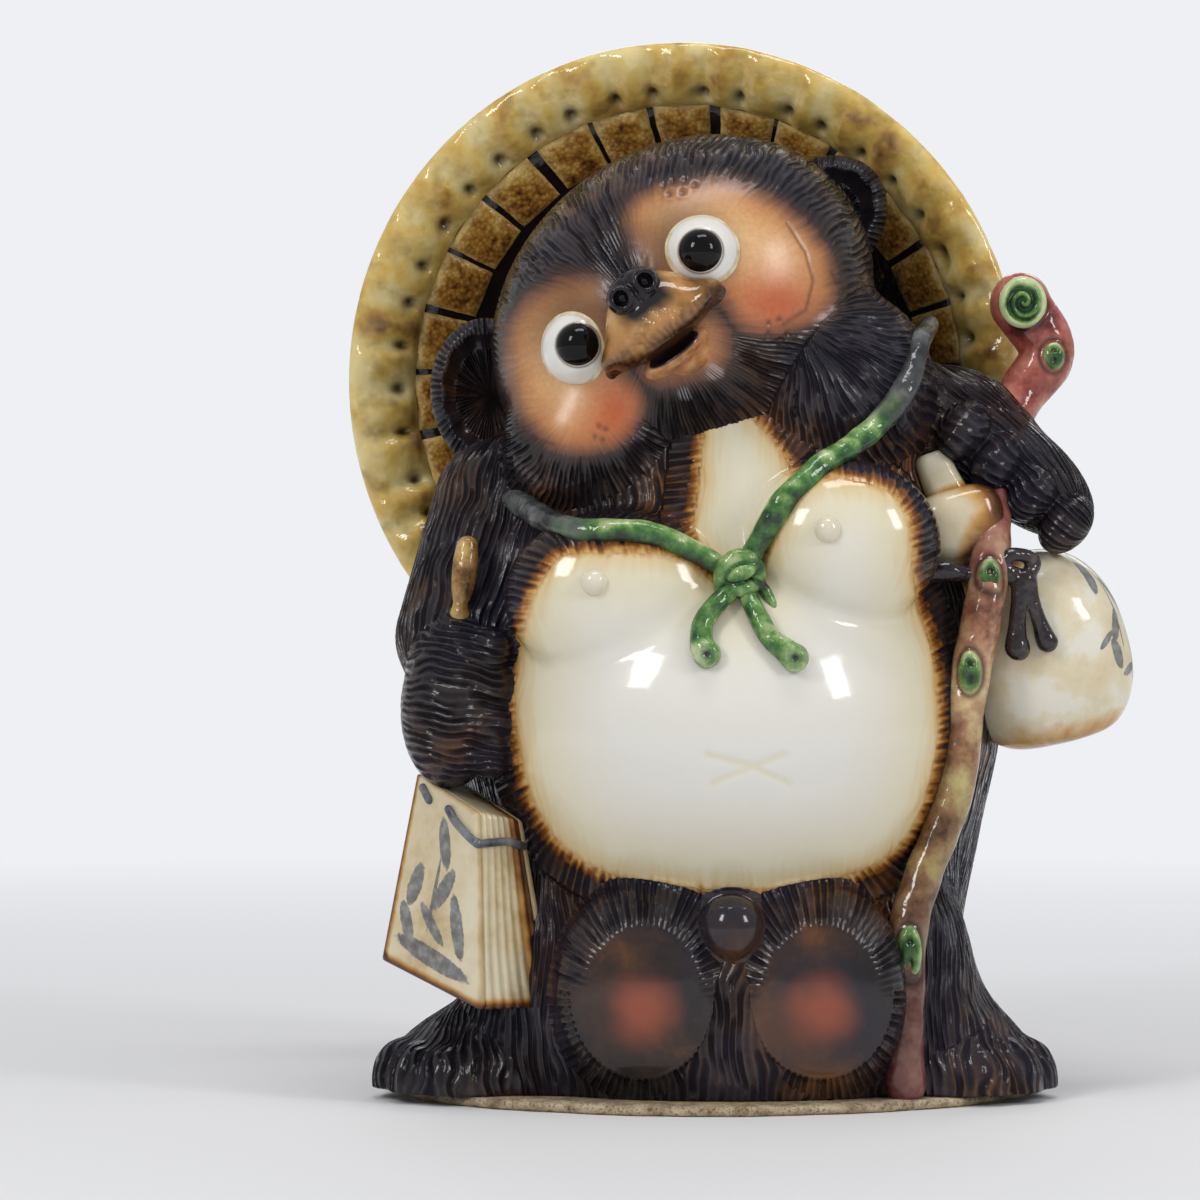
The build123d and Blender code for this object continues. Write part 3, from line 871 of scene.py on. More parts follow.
# The limbs: two legs with toed feet, a stub of tail, the arm that hangs to the ledger and the
# raised arm. Hand-rolled clay, luted on and combed, in the same black-brown glaze as the head.
leg_radii, foot_radii, toe_radii = (31, 34, 60), (33, 42, 31), (10, 11, 15)
toe_angles = np.radians(np.linspace(196, 318, 5))
foot_turns = {"right": -1, "left": 1}
foot_middle = 96.0
for side, sign in foot_turns.items():
    lump(f"leg_{side}", (5 + sign * 66, -44, 34), leg_radii, blend=12)
    lump(f"foot_{side}", (sign * foot_middle, -34, 2), foot_radii, blend=26)
    for turn in toe_angles:
        toe_x = sign * foot_middle - sign * (foot_radii[0] - toe_radii[0] / 2) * cos(turn)
        toe_y = -34 + (foot_radii[1] - toe_radii[1] / 2) * sin(turn)
        lump(f"foot_{side}", (toe_x, toe_y, 7), toe_radii, blend=6)
lump("tail", (8, 98, 44), (25, 26, 38), blend=10)

shoulder, wrist, arm_radius = (-84, -18, 230), (-98, -40, 178), 26.0


def rod(start, end, radius):
    """Distance to a rod with round ends."""
    start, end = np.array(start, float), np.array(end, float)
    run = end - start

    def distance(points):
        share = np.clip((points - start) @ run / (run @ run), 0, 1)
        return np.linalg.norm(points - start - share[:, None] * run, axis=1) - radius

    return distance


add_clay("arm_right", rod(shoulder, wrist, arm_radius), (-124, -66, 152), (-58, 8, 256), 12)
fist, fist_radii = np.array((-101.0, -60.0, 153.0)), np.array((20.0, 24.0, 33.0))
lump("hand_right", fist, fist_radii, 4, blend=8)
for index in range(4):
    knuckle = fist + fist_radii * (0.75, -0.35, 0.62 - 0.42 * index)
    lump("hand_right", knuckle, (7.5, 10, 7.6), blend=4)
lump("arm_left", (95, -20, 259), (33, 25, 25), 20, blend=10)
lump("hand_left", (118, -32, 243), (36, 19, 18), 39, blend=8)
finger_first, finger_last = np.array((96.0, -46.0, 258.0)), np.array((136.0, -44.0, 222.0))
for share in np.linspace(0, 1, 4):
    spot = finger_first + (finger_last - finger_first) * share
    lump("hand_left", spot, (9.2, 12, 13), 39, blend=2.0)


def combed_along(start, end, columns, stroke, depth, seed):
    """A way to comb fur along a limb from start to end."""
    start, end = np.array(start, float), np.array(end, float)
    run = (end - start) / np.linalg.norm(end - start)
    side = np.cross(run, (0, 1, 0))
    front = np.cross(side, run)

    def carve(points):
        local = points - start
        angle = np.arctan2(local @ side, -(local @ front))
        across = angle / (2 * pi) * columns + 0.5 * wander(points, 13, seed)
        along = (local @ run) / stroke
        groove = comb(along, across, seed)
        marks = {"groove": groove, "hair": np.stack([along * stroke / 8, across, angle], 1)}
        return depth * groove, marks

    return carve


def combed_round(centre, pitch, stroke, depth, seed):
    """A way to comb fur round an upright limb, in level strokes."""

    def carve(points):
        local = points - np.array(centre, float)
        angle = np.arctan2(local[:, 0], -local[:, 1])
        across = local[:, 2] / pitch + 0.8 * np.sin(angle * 1.4) + 0.5 * wander(points, 12, seed)
        along = angle * 26 / stroke
        groove = comb(along, across, seed)
        marks = {"groove": groove, "hair": np.stack([along * stroke / 8, across, angle], 1)}
        return depth * groove, marks

    return carve


toe_gaps = {"right": (-111.0, -101.0, -89.0), "left": (88.0, 100.0, 111.0)}


def combed_foot(side):
    """A way to comb a foot outwards over its toes, with pressed pits above the toe gaps."""
    middle = np.array((foot_turns[side] * (foot_middle - 14), -20.0))

    def carve(points):
        local = points[:, :2] - middle
        angle = np.arctan2(local[:, 0], -local[:, 1])
        across = angle / (2 * pi) * 92 + 0.5 * wander(points, 10, 3)
        along = (np.linalg.norm(local, axis=1) - points[:, 2] * 0.6) / 13
        groove = comb(along, across, 6)
        pressed = np.zeros(len(points))
        front = ease(-30 - points[:, 1], 0, 12)
        for start in toe_gaps[side]:
            drift = (25 - points[:, 2]) * 0.25 * foot_turns[side]
            off = np.abs(points[:, 0] - start - drift)
            pit = np.exp(-((off / 2.6) ** 2) - ((points[:, 2] - 24) / 3.4) ** 2)
            line = hump(off, 1.5) * ease(24 - points[:, 2], 0, 3)
            pressed = np.maximum(pressed, np.maximum(pit, 0.55 * line) * front)
        marks = {"groove": np.maximum(groove, pressed)}
        marks["hair"] = np.stack([along * 1.6, across, angle], 1)
        return 0.7 * groove * (1 - pressed) + 3.2 * pressed, marks

    return carve


fur_glaze, shader = empty_material("fur_glaze")
blush = read(fur_glaze, "blush")
calm = 1.0 - sums("MINIMUM", read(fur_glaze, "calm"), 1.0)
stroke = stroke_depth(fur_glaze) * calm
fur = blended(blush, fur_colour(fur_glaze, stroke), (0.30, 0.075, 0.04, 1))
glazed(shader, fur, fur_bump(fur_glaze, calm, stroke), roughness=0.12)
shade_grooves(shader, stroke)


# The two round bags and the knob that hang under the belly: thick pads of clay luted to the body and
# combed towards their edges, in dark glaze that was wiped off to a warm red spot in the middle.
bag_radii, bag_spread, bag_y, bag_z = (33, 24, 39), 33.5, -84.0, 45.5
spot_radius = 10.5


def rounded_box(centre, radii, turn, power):
    """Distance to a ball pressed towards a box."""
    centre, radii = np.array(centre, float), np.array(radii, float)
    spin = np.array(Matrix.Rotation(radians(turn), 3, "Y"))

    def distance(points):
        local = np.abs((points - centre) @ spin) / radii
        near = np.sum(local**power, axis=1) ** (1 / power)
        steep = np.sqrt(np.sum((local / radii) ** 2, axis=1))
        steep = steep / (np.sqrt(np.sum(local**2, axis=1)) + 1e-9)
        return (near - 1) / (steep + 1e-9)

    return distance


for side, sign in foot_turns.items():
    middle = np.array((5 + sign * bag_spread, bag_y, bag_z))
    bag = rounded_box(middle, bag_radii, sign * -4, 2.3)
    add_clay(f"gold_bag_{side}", bag, middle - bag_radii, middle + bag_radii, 6)
lump("front_knob", (5, -96, 69.5), (12.3, 12.3, 12.3), blend=2)


def combed_bag(side):
    """A way to comb a bag outwards round its smooth, wiped middle, inside a drawn outline."""
    middle = np.array((5 + foot_turns[side] * bag_spread, bag_z - 1))

    def carve(points):
        flat = (points[:, [0, 2]] - middle) / (bag_radii[0], bag_radii[2])
        far = np.linalg.norm(flat, axis=1)
        angle = np.arctan2(flat[:, 0], flat[:, 1])
        across = angle / (2 * pi) * 74
        low = ease(0.25 - flat[:, 1], 0, 0.35)
        outer = np.maximum(ease(far, 0.78, 0.84) * low, ease(far, 0.6, 0.8) * (1 - low))
        groove = comb(far * 2.4, across, 8) * outer
        rim = hump(far - 0.81, 0.022) * low
        trough = hump(far - 0.865, 0.03) * low
        spot = np.linalg.norm(points[:, [0, 2]] - middle + (0, 5.0), axis=1)
        marks = {"groove": groove, "hair": np.stack([far * 4, across, angle], 1)}
        marks["blush"] = 1 - ease(spot + wander(points, 6), spot_radius - 9, spot_radius + 8)
        marks["calm"] = 1 - outer
        return 0.6 * groove - 0.7 * rim + 0.9 * trough, marks

    return carve


def smooth_clay(points):
    """Leaves clay as smooth as a wet thumb does."""
    plain = np.zeros(len(points))
    marks = {"groove": plain, "calm": plain + 1, "hair": np.stack([plain, plain, plain], 1)}
    return 0.15 * wander(points, 9), marks


# The ears: two lobes of clay with a deep scoop, luted to the head and ribbed like a shell inside
# with the edge of a tool, in the same dark glaze as the fur.
ear_radii, ear_scoop = np.array((31.0, 12.0, 24.0)), 6.0
ears = {"right": ((-76, 22, -30), 8.0), "left": ((54, 22, 38), -47.0)}
ear_ribs = 13


def ear_local(side, points):
    """Places in an ear's own frame."""
    place, turn = ears[side]
    spin = np.array(Matrix.Rotation(radians(90 - turn), 3, "Y"))
    return (points - head_centre - np.array(place, float)) @ spin


def ear_distance(side):
    """Distance to a scooped lobe."""
    lobe = stretched((0, 0, 0), ear_radii)
    hollow = ear_radii - np.array((ear_scoop, 0, ear_scoop))
    scoop = stretched((0, -ear_radii[1] * 0.75, 0), hollow)

    def distance(points):
        local = ear_local(side, points)
        return -soften(-lobe(local), scoop(local), 3.0)

    return distance


for side, (place, turn) in ears.items():
    middle = head_centre + np.array(place, float)
    add_clay(f"ear_{side}", ear_distance(side), middle - 31, middle + 31, 5)


def carve_ear(side):
    """Ribs that run out of an ear's scoop like the ribs of a shell."""

    def carve(points):
        local = ear_local(side, points)
        angle = np.arctan2(local[:, 0] / ear_radii[0], local[:, 2] / ear_radii[2])
        far = np.hypot(local[:, 0] / ear_radii[0], local[:, 2] / ear_radii[2])
        front = local[:, 1] < -1
        wave = np.clip(np.sin(angle * ear_ribs) * 1.6, -1, 1) * 0.5 + 0.5
        ring = ease(far, 0.42, 0.55) * (1 - ease(far, 0.74, 0.84)) * front
        tuft = (1 - ease(far, 0.3, 0.42)) * front
        across = angle / (2 * pi) * 70
        combed = comb(far * 2.5, across, 12)
        outer = 1 - np.clip(ring + tuft, 0, 1)
        groove = ring * wave + 0.5 * outer * combed
        depth = 2.6 * ring * wave + 0.4 * outer * combed - tuft * (1.2 + 0.8 * wander(points, 5))
        marks = {"groove": groove * 1.6, "hair": np.stack([far * 4, across, angle], 1)}
        marks["calm"] = np.clip(ring + tuft, 0, 1) * 0.8
        return depth, marks

    return carve


torso_pieces()
front = sculpt("head_front_clay", "head", 0.8, carve_head, side=-1)
hand_in(front, face_glaze, "face_glaze", "head_front")
back = sculpt("head_back_clay", "head", 1.1, carve_head, side=1)
hand_in(back, face_glaze, "fur_glaze", "head_back")
combings = {
    "leg_right": combed_along((-61, -44, 90), (-61, -60, 0), 70, 22, 0.6, 21),
    "leg_left": combed_along((71, -44, 90), (71, -60, 0), 70, 22, 0.6, 22),
    "foot_right": combed_foot("right"),
    "foot_left": combed_foot("left"),
    "tail": combed_along((8, 80, 84), (8, 108, 4), 56, 18, 0.6, 23),
    "arm_right": combed_along(shoulder, wrist, 58, 24, 0.7, 24),
    "hand_right": combed_round(fist, 3.0, 15, 0.6, 25),
    "arm_left": combed_along((70, -15, 275), (125, -40, 235), 56, 20, 0.6, 26),
    "hand_left": combed_along((100, -20, 262), (140, -40, 225), 46, 14, 0.5, 27),
    "gold_bag_right": combed_bag("right"),
    "gold_bag_left": combed_bag("left"),
    "front_knob": smooth_clay,
    "ear_right": carve_ear("right"),
    "ear_left": carve_ear("left"),
}
for node, carve in combings.items():
    piece = sculpt(f"{node}_clay", node, 0.85, carve)
    hand_in(piece, fur_glaze, "fur_glaze", node)


# The hat: a straw hat hung behind the head, made as a coned dish with a thick rolled rim. The rim
# is a ring of ochre glaze with a row of thumb pits; inside it lies a band of crackled amber tiles,
# and the glaze runs to black towards the crown. The outside is ribbed like plaited straw.
hat_centre = Vector((-13.0, 34.0, 279.0))
hat_turn = Matrix.Rotation(radians(-12), 4, "Z") @ Matrix.Rotation(radians(5), 4, "X")
hat_place = Matrix.Translation(hat_centre * MM) @ hat_turn
hat_radius, rim_width, rim_thickness, dish_slope = 137.0, 27.0, 11.0, radians(35)
band_width, crown_radius, crown_depth, hat_wall = 25.0, 52.0, 62.0, 8.0
rim_inner = hat_radius - rim_width * cos(dish_slope)
rim_depth = rim_width * sin(dish_slope)
band_inner = rim_inner - band_width * cos(dish_slope)
band_depth = rim_depth + band_width * sin(dish_slope)
thumb_pits, band_tiles = 42, 27


def new_tree(name, sizes):
    """A geometry tree with named number inputs, and what those inputs give."""
    tree = bpy.data.node_groups.new(name, "GeometryNodeTree")
    for label, value in sizes.items():
        kind = "NodeSocketInt" if isinstance(value, int) else "NodeSocketFloat"
        tree.interface.new_socket(label, in_out="INPUT", socket_type=kind)
    tree.interface.new_socket("Glaze", in_out="INPUT", socket_type="NodeSocketMaterial")
    tree.interface.new_socket("Geometry", in_out="OUTPUT", socket_type="NodeSocketGeometry")
    return tree, grow("NodeGroupInput", tree)


def vector_of(x, y, z):
    """A vector from its three parts."""
    return grow("ShaderNodeCombineXYZ", X=x, Y=y, Z=z)


def keep_mark(geometry, name, value):
    """Keeps a value on each point under a name that the glaze reads."""
    return grow("GeometryNodeStoreNamedAttribute", Geometry=geometry, Name=name, Value=value)


def finish_tree(geometry, glaze):
    """Ends a tree in Realize Instances and Set Material."""
    real = grow("GeometryNodeRealizeInstances", Geometry=geometry)
    coated = grow("GeometryNodeSetMaterial", Geometry=real, Material=glaze)
    plug(coated, coated.node.id_data.nodes.new("NodeGroupOutput").inputs[0])


def grown(name, tree, sizes, glaze, place):
    """The plain mesh that a geometry tree makes, in its place, with outward smooth faces."""
    holder = bpy.data.objects.new(name, bpy.data.meshes.new(name + "_seed"))
    scene.collection.objects.link(holder)
    modifier = holder.modifiers.new("grow", "NODES")
    modifier.node_group = tree
    for item in tree.interface.items_tree:
        if item.in_out == "INPUT":
            modifier[item.identifier] = glaze if item.name == "Glaze" else sizes[item.name]
    graph = bpy.context.evaluated_depsgraph_get()
    mesh = bpy.data.meshes.new_from_object(holder.evaluated_get(graph))
    holder.modifiers.clear()
    holder.data = mesh
    mesh.transform(place)
    form = bmesh.new()
    form.from_mesh(mesh)
    bmesh.ops.remove_doubles(form, verts=form.verts, dist=0.02 * MM)
    if form.calc_volume(signed=True) < 0:
        bmesh.ops.reverse_faces(form, faces=form.faces)
    form.to_mesh(mesh)
    form.free()
    mesh.polygons.foreach_set("use_smooth", np.ones(len(mesh.polygons), bool))
    print("piece", name, len(mesh.vertices), "points")
    return holder


ochre_glaze, shader = empty_material("ochre_glaze")
spot = object_place(ochre_glaze)
share = sums("MULTIPLY_ADD", cloud(spot, 300.0, 3), 0.10, 0.09)
share = share + cloud(spot, 55.0, 3)
share = sums("MULTIPLY_ADD", read(ochre_glaze, "swell"), -0.17, share)
ochre = ramp(share, [
    (0.26, (0.14, 0.07, 0.025)), (0.36, (0.33, 0.18, 0.05)), (0.44, (0.54, 0.33, 0.075)),
    (0.54, (0.67, 0.46, 0.125)), (0.70, (0.77, 0.62, 0.28)),
])
stain = sums("MAXIMUM", (cloud(spot, 120.0, 2) - 0.52) * 5.0, 0.0)
stain = sums("MINIMUM", stain * 0.4, 0.6)
ochre = blended(stain, ochre, (0.17, 0.115, 0.035, 1))
ochre = blended(read(ochre_glaze, "pit"), ochre, (0.03, 0.018, 0.010, 1))
dent = grow("ShaderNodeBump", Height=cloud(spot, 130.0, 3), Strength=0.4, Distance=0.002)
glazed(shader, ochre, dent, 0.1)

rim_sizes = {
    "Ring Radius": (hat_radius + rim_inner) / 2 * MM, "Ring Depth": (rim_depth / 2 + 2) * MM,
    "Half Width": (rim_width / 2 + 1) * MM, "Half Thickness": rim_thickness / 2 * MM,
    "Pits": thumb_pits, "Pit Place": -6.4 * MM, "Pit Size": 3.2 * MM, "Pit Depth": 4.4 * MM,
    "Swell Height": 2.9 * MM, "Roughness": 0.9 * MM,
}
rim_tree, given = new_tree("thumbed_rim", rim_sizes)
sheet = grow(
    "GeometryNodeMeshGrid", tree=rim_tree, Size_X=1.0, Size_Y=1.0,
    Vertices_X=thumb_pits * 18 + 1, Vertices_Y=57,
)
parts = grow("ShaderNodeSeparateXYZ", Vector=grow("GeometryNodeInputPosition", tree=rim_tree))
turn = parts["X"] * (2 * pi)
roll = parts["Y"] * (2 * pi)
circle = (sums("COSINE", turn), sums("SINE", turn))
slide = sums("COSINE", roll) * given["Half Width"]
front = sums("MAXIMUM", sums("SINE", roll), 0.0)
lift = sums("SINE", roll) * given["Half Thickness"]
walk = vector_of(circle[0], circle[1], slide * 6.0)
uneven = cloud(walk, 5.0, 1.0)
lumpy = cloud(walk, 16.0, 2.0)
around = vector_of(circle[0], circle[1], 0.0)
shift = cloud(around, 6.0, 1.0)
phase = sums("MULTIPLY_ADD", parts["X"], given["Pits"], shift)
beside = sums("FRACT", phase) - 0.5
pitch = given["Ring Radius"] * (2 * pi) / given["Pits"]
far = beside * pitch / given["Pit Size"]
high_up = (slide - given["Pit Place"]) / given["Pit Size"]
far = far * far + high_up * high_up
pit = sums("EXPONENT", far * -1.1) * front
swell = sums("COSINE", beside * (2 * pi))
swell = sums("MULTIPLY_ADD", swell, -0.5, 0.5) * front
rough = uneven - 0.5 + (lumpy - 0.5)
lift = sums("MULTIPLY_ADD", swell, given["Swell Height"], lift)
lift = sums("MULTIPLY_ADD", rough, given["Roughness"], lift)
lift = lift - pit * given["Pit Depth"]
out = sums("MULTIPLY_ADD", slide, cos(dish_slope), given["Ring Radius"])
out = sums("MULTIPLY_ADD", lift, -sin(dish_slope), out)
deep = sums("MULTIPLY_ADD", slide, -sin(dish_slope), given["Ring Depth"])
deep = sums("MULTIPLY_ADD", lift, -cos(dish_slope), deep)
spun = vector_of(circle[0] * out, deep, circle[1] * out)
marked = keep_mark(sheet, "pit", pit)
marked = keep_mark(marked, "swell", swell)
moved = grow("GeometryNodeSetPosition", Geometry=marked, Position=spun)
finish_tree(moved, given["Glaze"])
rim = grown("hat_rim_ring", rim_tree, rim_sizes, ochre_glaze, hat_place)
hand_in(rim, ochre_glaze, "hat_ochre", "hat_rim")

amber_glaze, shader = empty_material("amber_glaze")
spot = object_place(amber_glaze)
cells = grow("ShaderNodeTexVoronoi", Vector=spot, Scale=560.0)
pebble = sums("MULTIPLY_ADD", cells, -0.4, cloud(spot, 200.0, 3))
share = sums("MULTIPLY_ADD", read(amber_glaze, "edge"), 0.42, pebble)
share = sums("MULTIPLY_ADD", read(amber_glaze, "outward"), 0.22, share)
share = share + cloud(spot, 60.0, 2) * 0.42
amber = ramp(share, [
    (0.16, (0.03, 0.013, 0.007)), (0.32, (0.13, 0.05, 0.013)), (0.48, (0.29, 0.125, 0.022)),
    (0.68, (0.46, 0.245, 0.05)), (0.9, (0.62, 0.43, 0.14)),
])
dent = grow("ShaderNodeBump", Height=pebble, Strength=0.5, Distance=0.0012)
glazed(shader, amber, dent, 0.18)

tile_sizes = {
    "Tiles": band_tiles, "Tile Width": 21.6 * MM, "Tile Height": 23.0 * MM,
    "Tile Thickness": 4.6 * MM, "Band Radius": ((rim_inner + band_inner) / 2 - 0.6) * MM,
    "Band Depth": ((rim_depth + band_depth) / 2 + 0.4) * MM, "Unevenness": 1.3 * MM, "Seed": 5,
}
tile_tree, given = new_tree("tile_band", tile_sizes)
block = grow(
    "GeometryNodeMeshCube", Vertices_X=25, Vertices_Y=5, Vertices_Z=25,
    Size=vector_of(given["Tile Width"], given["Tile Thickness"], given["Tile Height"]),
)
parts = grow("ShaderNodeSeparateXYZ", Vector=grow("GeometryNodeInputPosition", tree=tile_tree))
near_x = parts["X"] / given["Tile Width"]
near_z = parts["Z"] / given["Tile Height"]
fall_x = sums("POWER", sums("ABSOLUTE", near_x * 2.0), 6.0)
fall_z = sums("POWER", sums("ABSOLUTE", near_z * 2.0), 6.0)
crown = (1.0 - fall_x) * (1.0 - fall_z)
thick = parts["Y"] * sums("MULTIPLY_ADD", crown, 0.8, 0.2)
fan = parts["X"] * sums("MULTIPLY_ADD", near_z, 0.18, 1.0)
marked = keep_mark(block, "edge", 1.0 - crown)
marked = keep_mark(marked, "outward", near_z)
shaped = grow(
    "GeometryNodeSetPosition", Geometry=marked,
    Position=vector_of(fan, thick, parts["Z"]),
)
set_off = grow(
    "GeometryNodeTransform", Geometry=shaped, Rotation=(dish_slope, 0.0, 0.0),
    Translation=vector_of(0.0, given["Band Depth"], given["Band Radius"]),
)
count = grow("GeometryNodeInputIndex", tree=tile_tree)
swing = count * (2 * pi) / given["Tiles"]
stir = grow("FunctionNodeRandomValue", data_type="FLOAT", Seed=given["Seed"])
stir.node.inputs[2].default_value = -0.012
stir.node.inputs[3].default_value = 0.012
dots = grow("GeometryNodePoints", Count=given["Tiles"])
ring = grow(
    "GeometryNodeInstanceOnPoints", Points=dots, Instance=set_off,
    Rotation=vector_of(0.0, swing + stir[1], 0.0),
)
real = grow("GeometryNodeRealizeInstances", Geometry=ring)
here = grow("GeometryNodeInputPosition", tree=tile_tree)
waver = (cloud(here, 70.0, 2.0) - 0.5) * given["Unevenness"]
wavered = grow(
    "GeometryNodeSetPosition", Geometry=real,
    Offset=vector_of(waver, waver * 1.4, waver),
)
finish_tree(wavered, given["Glaze"])
tiles = grown("hat_tile_band", tile_tree, tile_sizes, amber_glaze, hat_place)
hand_in(tiles, amber_glaze, "hat_amber", "hat_dish")

dish_glaze, shader = empty_material("dish_glaze")
spot = object_place(dish_glaze)
straw = cloud(spot, 55.0, 4)
share = sums("MULTIPLY_ADD", read(dish_glaze, "outside"), 0.42, straw)
share = sums("MULTIPLY_ADD", read(dish_glaze, "groove"), -0.16, share)
straw_colour = ramp(share, [
    (0.55, (0.012, 0.008, 0.008)), (0.72, (0.06, 0.026, 0.012)), (0.86, (0.22, 0.105, 0.028)),
    (1.0, (0.42, 0.26, 0.08)),
])
dent = grow("ShaderNodeBump", Height=cloud(spot, 240.0, 3), Strength=0.4, Distance=0.0012)
glazed(shader, straw_colour, dent, 0.17)

dish_turns, dish_ribs = 540, 60
crown_bend = band_depth + (crown_depth - band_depth) * 0.7
corners = np.array([(crown_radius, crown_bend - crown_depth), (band_inner, band_depth - crown_depth)])
hub = np.linalg.solve(2 * corners, np.sum(corners**2, axis=1))
reach = np.hypot(*hub)
ends = [np.arctan2(*(corner - hub)[::-1]) for corner in (np.zeros(2), corners[1])]


def crown_line(share):
    """A point on the arc from the middle of the crown to its edge."""
    angle = ends[0] + (ends[1] - ends[0]) * share
    return hub[0] + reach * cos(angle), crown_depth + hub[1] + reach * sin(angle)


profile = []
for index in range(19):
    profile.append((*crown_line(index / 18), 0))
profile.append(((band_inner + rim_inner) / 2, (band_depth + rim_depth) / 2, 0))
profile.append((rim_inner + 3, rim_depth - 2, 0))
profile.append((rim_inner + 3, rim_depth + hat_wall - 2, 0.4))
for index in range(12):
    share = index / 11
    profile.append(((rim_inner + 2) * (1 - share) + band_inner * share,
                    (rim_depth + hat_wall - 1.4) * (1 - share) + (band_depth + hat_wall) * share, 1))
for index in range(1, 25):
    across, deep = crown_line(1 - index / 24)
    profile.append((across, deep + hat_wall, 1))
profile = np.array(profile)
spin = np.arange(dish_turns) / dish_turns * 2 * pi
rows = profile[1:-1]
rib = np.abs(np.sin(spin[:, None] * dish_ribs / 2)) ** 0.5 * rows[:, 2] * ease(rows[:, 0], 4, 30)
ring_wave = 0.5 + 0.5 * np.cos(rows[:, 0] / 6.5 * 2 * pi)
woven = rib * 0.7 + 0.3 * rows[:, 2] * ring_wave
deep = rows[:, 1] - 1.5 * rows[:, 2] + 1.3 * woven
points = [rows[:, 0] * np.cos(spin)[:, None], deep, rows[:, 0] * np.sin(spin)[:, None]]
points = np.stack(points, -1).reshape(-1, 3)
poles = np.array([(0, profile[0, 1], 0), (0, profile[-1, 1] - 1, 0)])
points = np.concatenate([points, poles])
count = len(rows)
first = np.arange(dish_turns)[:, None] * count + np.arange(count - 1)
second = (np.arange(dish_turns)[:, None] + 1) % dish_turns * count + np.arange(count - 1)
faces = np.stack([first, first + 1, second + 1, second], -1).reshape(-1, 4)
marks = {"outside": np.append(np.tile(rows[:, 2], dish_turns), (0, 1)),
         "groove": np.append(1 - woven.ravel(), (0, 0))}
dish = build_mesh("hat_dish_shell", points, faces, marks)
form = bmesh.new()
form.from_mesh(dish.data)
form.verts.ensure_lookup_table()
starts = np.arange(dish_turns) * count
for pole, ends in ((len(points) - 2, starts), (len(points) - 1, starts + count - 1)):
    for a, b in zip(ends, np.roll(ends, -1)):
        form.faces.new((form.verts[pole], form.verts[a], form.verts[b]))
bmesh.ops.recalc_face_normals(form, faces=form.faces)
form.to_mesh(dish.data)
form.free()
dish.data.transform(hat_place)
dish.data.polygons.foreach_set("use_smooth", np.ones(len(dish.data.polygons), bool))
hand_in(dish, dish_glaze, "hat_amber", "hat_dish")


# The foot plate: an oval slab of bare buff stoneware, cut by hand, with a vent hole through it.
# Its edge is left unglazed where the figure stood in the kiln.
plate_middle, plate_radii, vent_radius = (0, -4), (130, 108), 20.0


def carved(depth_and_marks):
    """A carving that only moves points along their normals."""

    def finish(points, normals):
        depth, marks = depth_and_marks(points)
        return points - normals * depth[:, None], marks, np.zeros(len(points), bool)

    return finish


def pooled_glaze(name, stops, size, roughness=0.12, dents=0.4, mark=None, pull=0.0):
    """A gloss glaze that pools in several tones, and more so by a value kept on the mesh."""
    material, shader = empty_material(name)
    spot = object_place(material)
    share = sums("MULTIPLY_ADD", cloud(spot, 6.0 / size, 2), 0.16, -0.08)
    share = share + cloud(spot, 1.0 / size, 4, 0.55)
    if mark:
        share = sums("MULTIPLY_ADD", read(material, mark), pull, share)
    colour = ramp(share, stops)
    uneven = cloud(spot, 1.6 / size, 3)
    dent = grow("ShaderNodeBump", Height=uneven, Strength=dents, Distance=0.0016)
    glazed(shader, colour, dent, roughness)
    return material, shader, colour


bare_clay, shader, clay_colour = pooled_glaze(
    "bare_clay",
    [(0.3, (0.20, 0.135, 0.075)), (0.5, (0.40, 0.31, 0.19)), (0.62, (0.50, 0.41, 0.27)),
     (0.75, (0.58, 0.50, 0.36))],
    0.006, roughness=0.75, dents=0.7,
)
grit = cloud(object_place(bare_clay), 900.0, 2)
grit = ramp(grit, [(0.36, (0.45, 0.40, 0.34)), (0.46, (1, 1, 1))])
plug(blended(1.0, clay_colour, grit, "MULTIPLY"), shader.inputs["Base Color"])

plate_turns = 360
spin = np.arange(plate_turns) / plate_turns * 2 * pi
edge_line = [
    (0.0, 0.7), (0.0, 3.3), (0.01, 3.9), (0.06, 4.0), (0.5, 4.0), (0.94, 4.0), (0.985, 3.7),
    (0.998, 2.9), (1.0, 1.8), (0.996, 0.8), (0.985, 0.15), (0.94, 0.0), (0.5, 0.0), (0.03, 0.0),
    (0.005, 0.2),
]
hand_cut = np.sin(3 * spin + 1) + 0.7 * np.sin(7 * spin) + 0.45 * np.sin(17 * spin + 2)
hand_cut += 0.3 * np.sin(41 * spin + 0.5)
outer = np.stack([plate_middle[0] + (plate_radii[0] + hand_cut) * np.cos(spin),
                  plate_middle[1] + (plate_radii[1] + hand_cut) * np.sin(spin)], 1)
inner = (vent_radius + 0.3 * np.sin(5 * spin))[:, None] * np.stack([np.cos(spin), np.sin(spin)], 1)
rows = []
for share, height in edge_line:
    flat = inner + (outer - inner) * share
    lift = 0.35 * np.sin(9 * spin + 8 * share) * (0.2 < height < 3.4)
    rows.append(np.column_stack([flat, np.full(plate_turns, height) + lift]))
points = np.stack(rows, 1).reshape(-1, 3)
count = len(edge_line)
faces = []
for a in range(count):
    b = (a + 1) % count
    here = np.arange(plate_turns) * count
    after = np.roll(here, -1)
    faces.append(np.stack([here + a, here + b, after + b, after + a], 1))
plate = build_mesh("foot_plate", points, np.concatenate(faces), {})
form = bmesh.new()
form.from_mesh(plate.data)
bmesh.ops.recalc_face_normals(form, faces=form.faces)
form.to_mesh(plate.data)
form.free()
hand_in(plate, bare_clay, "bare_clay", "base_slab")


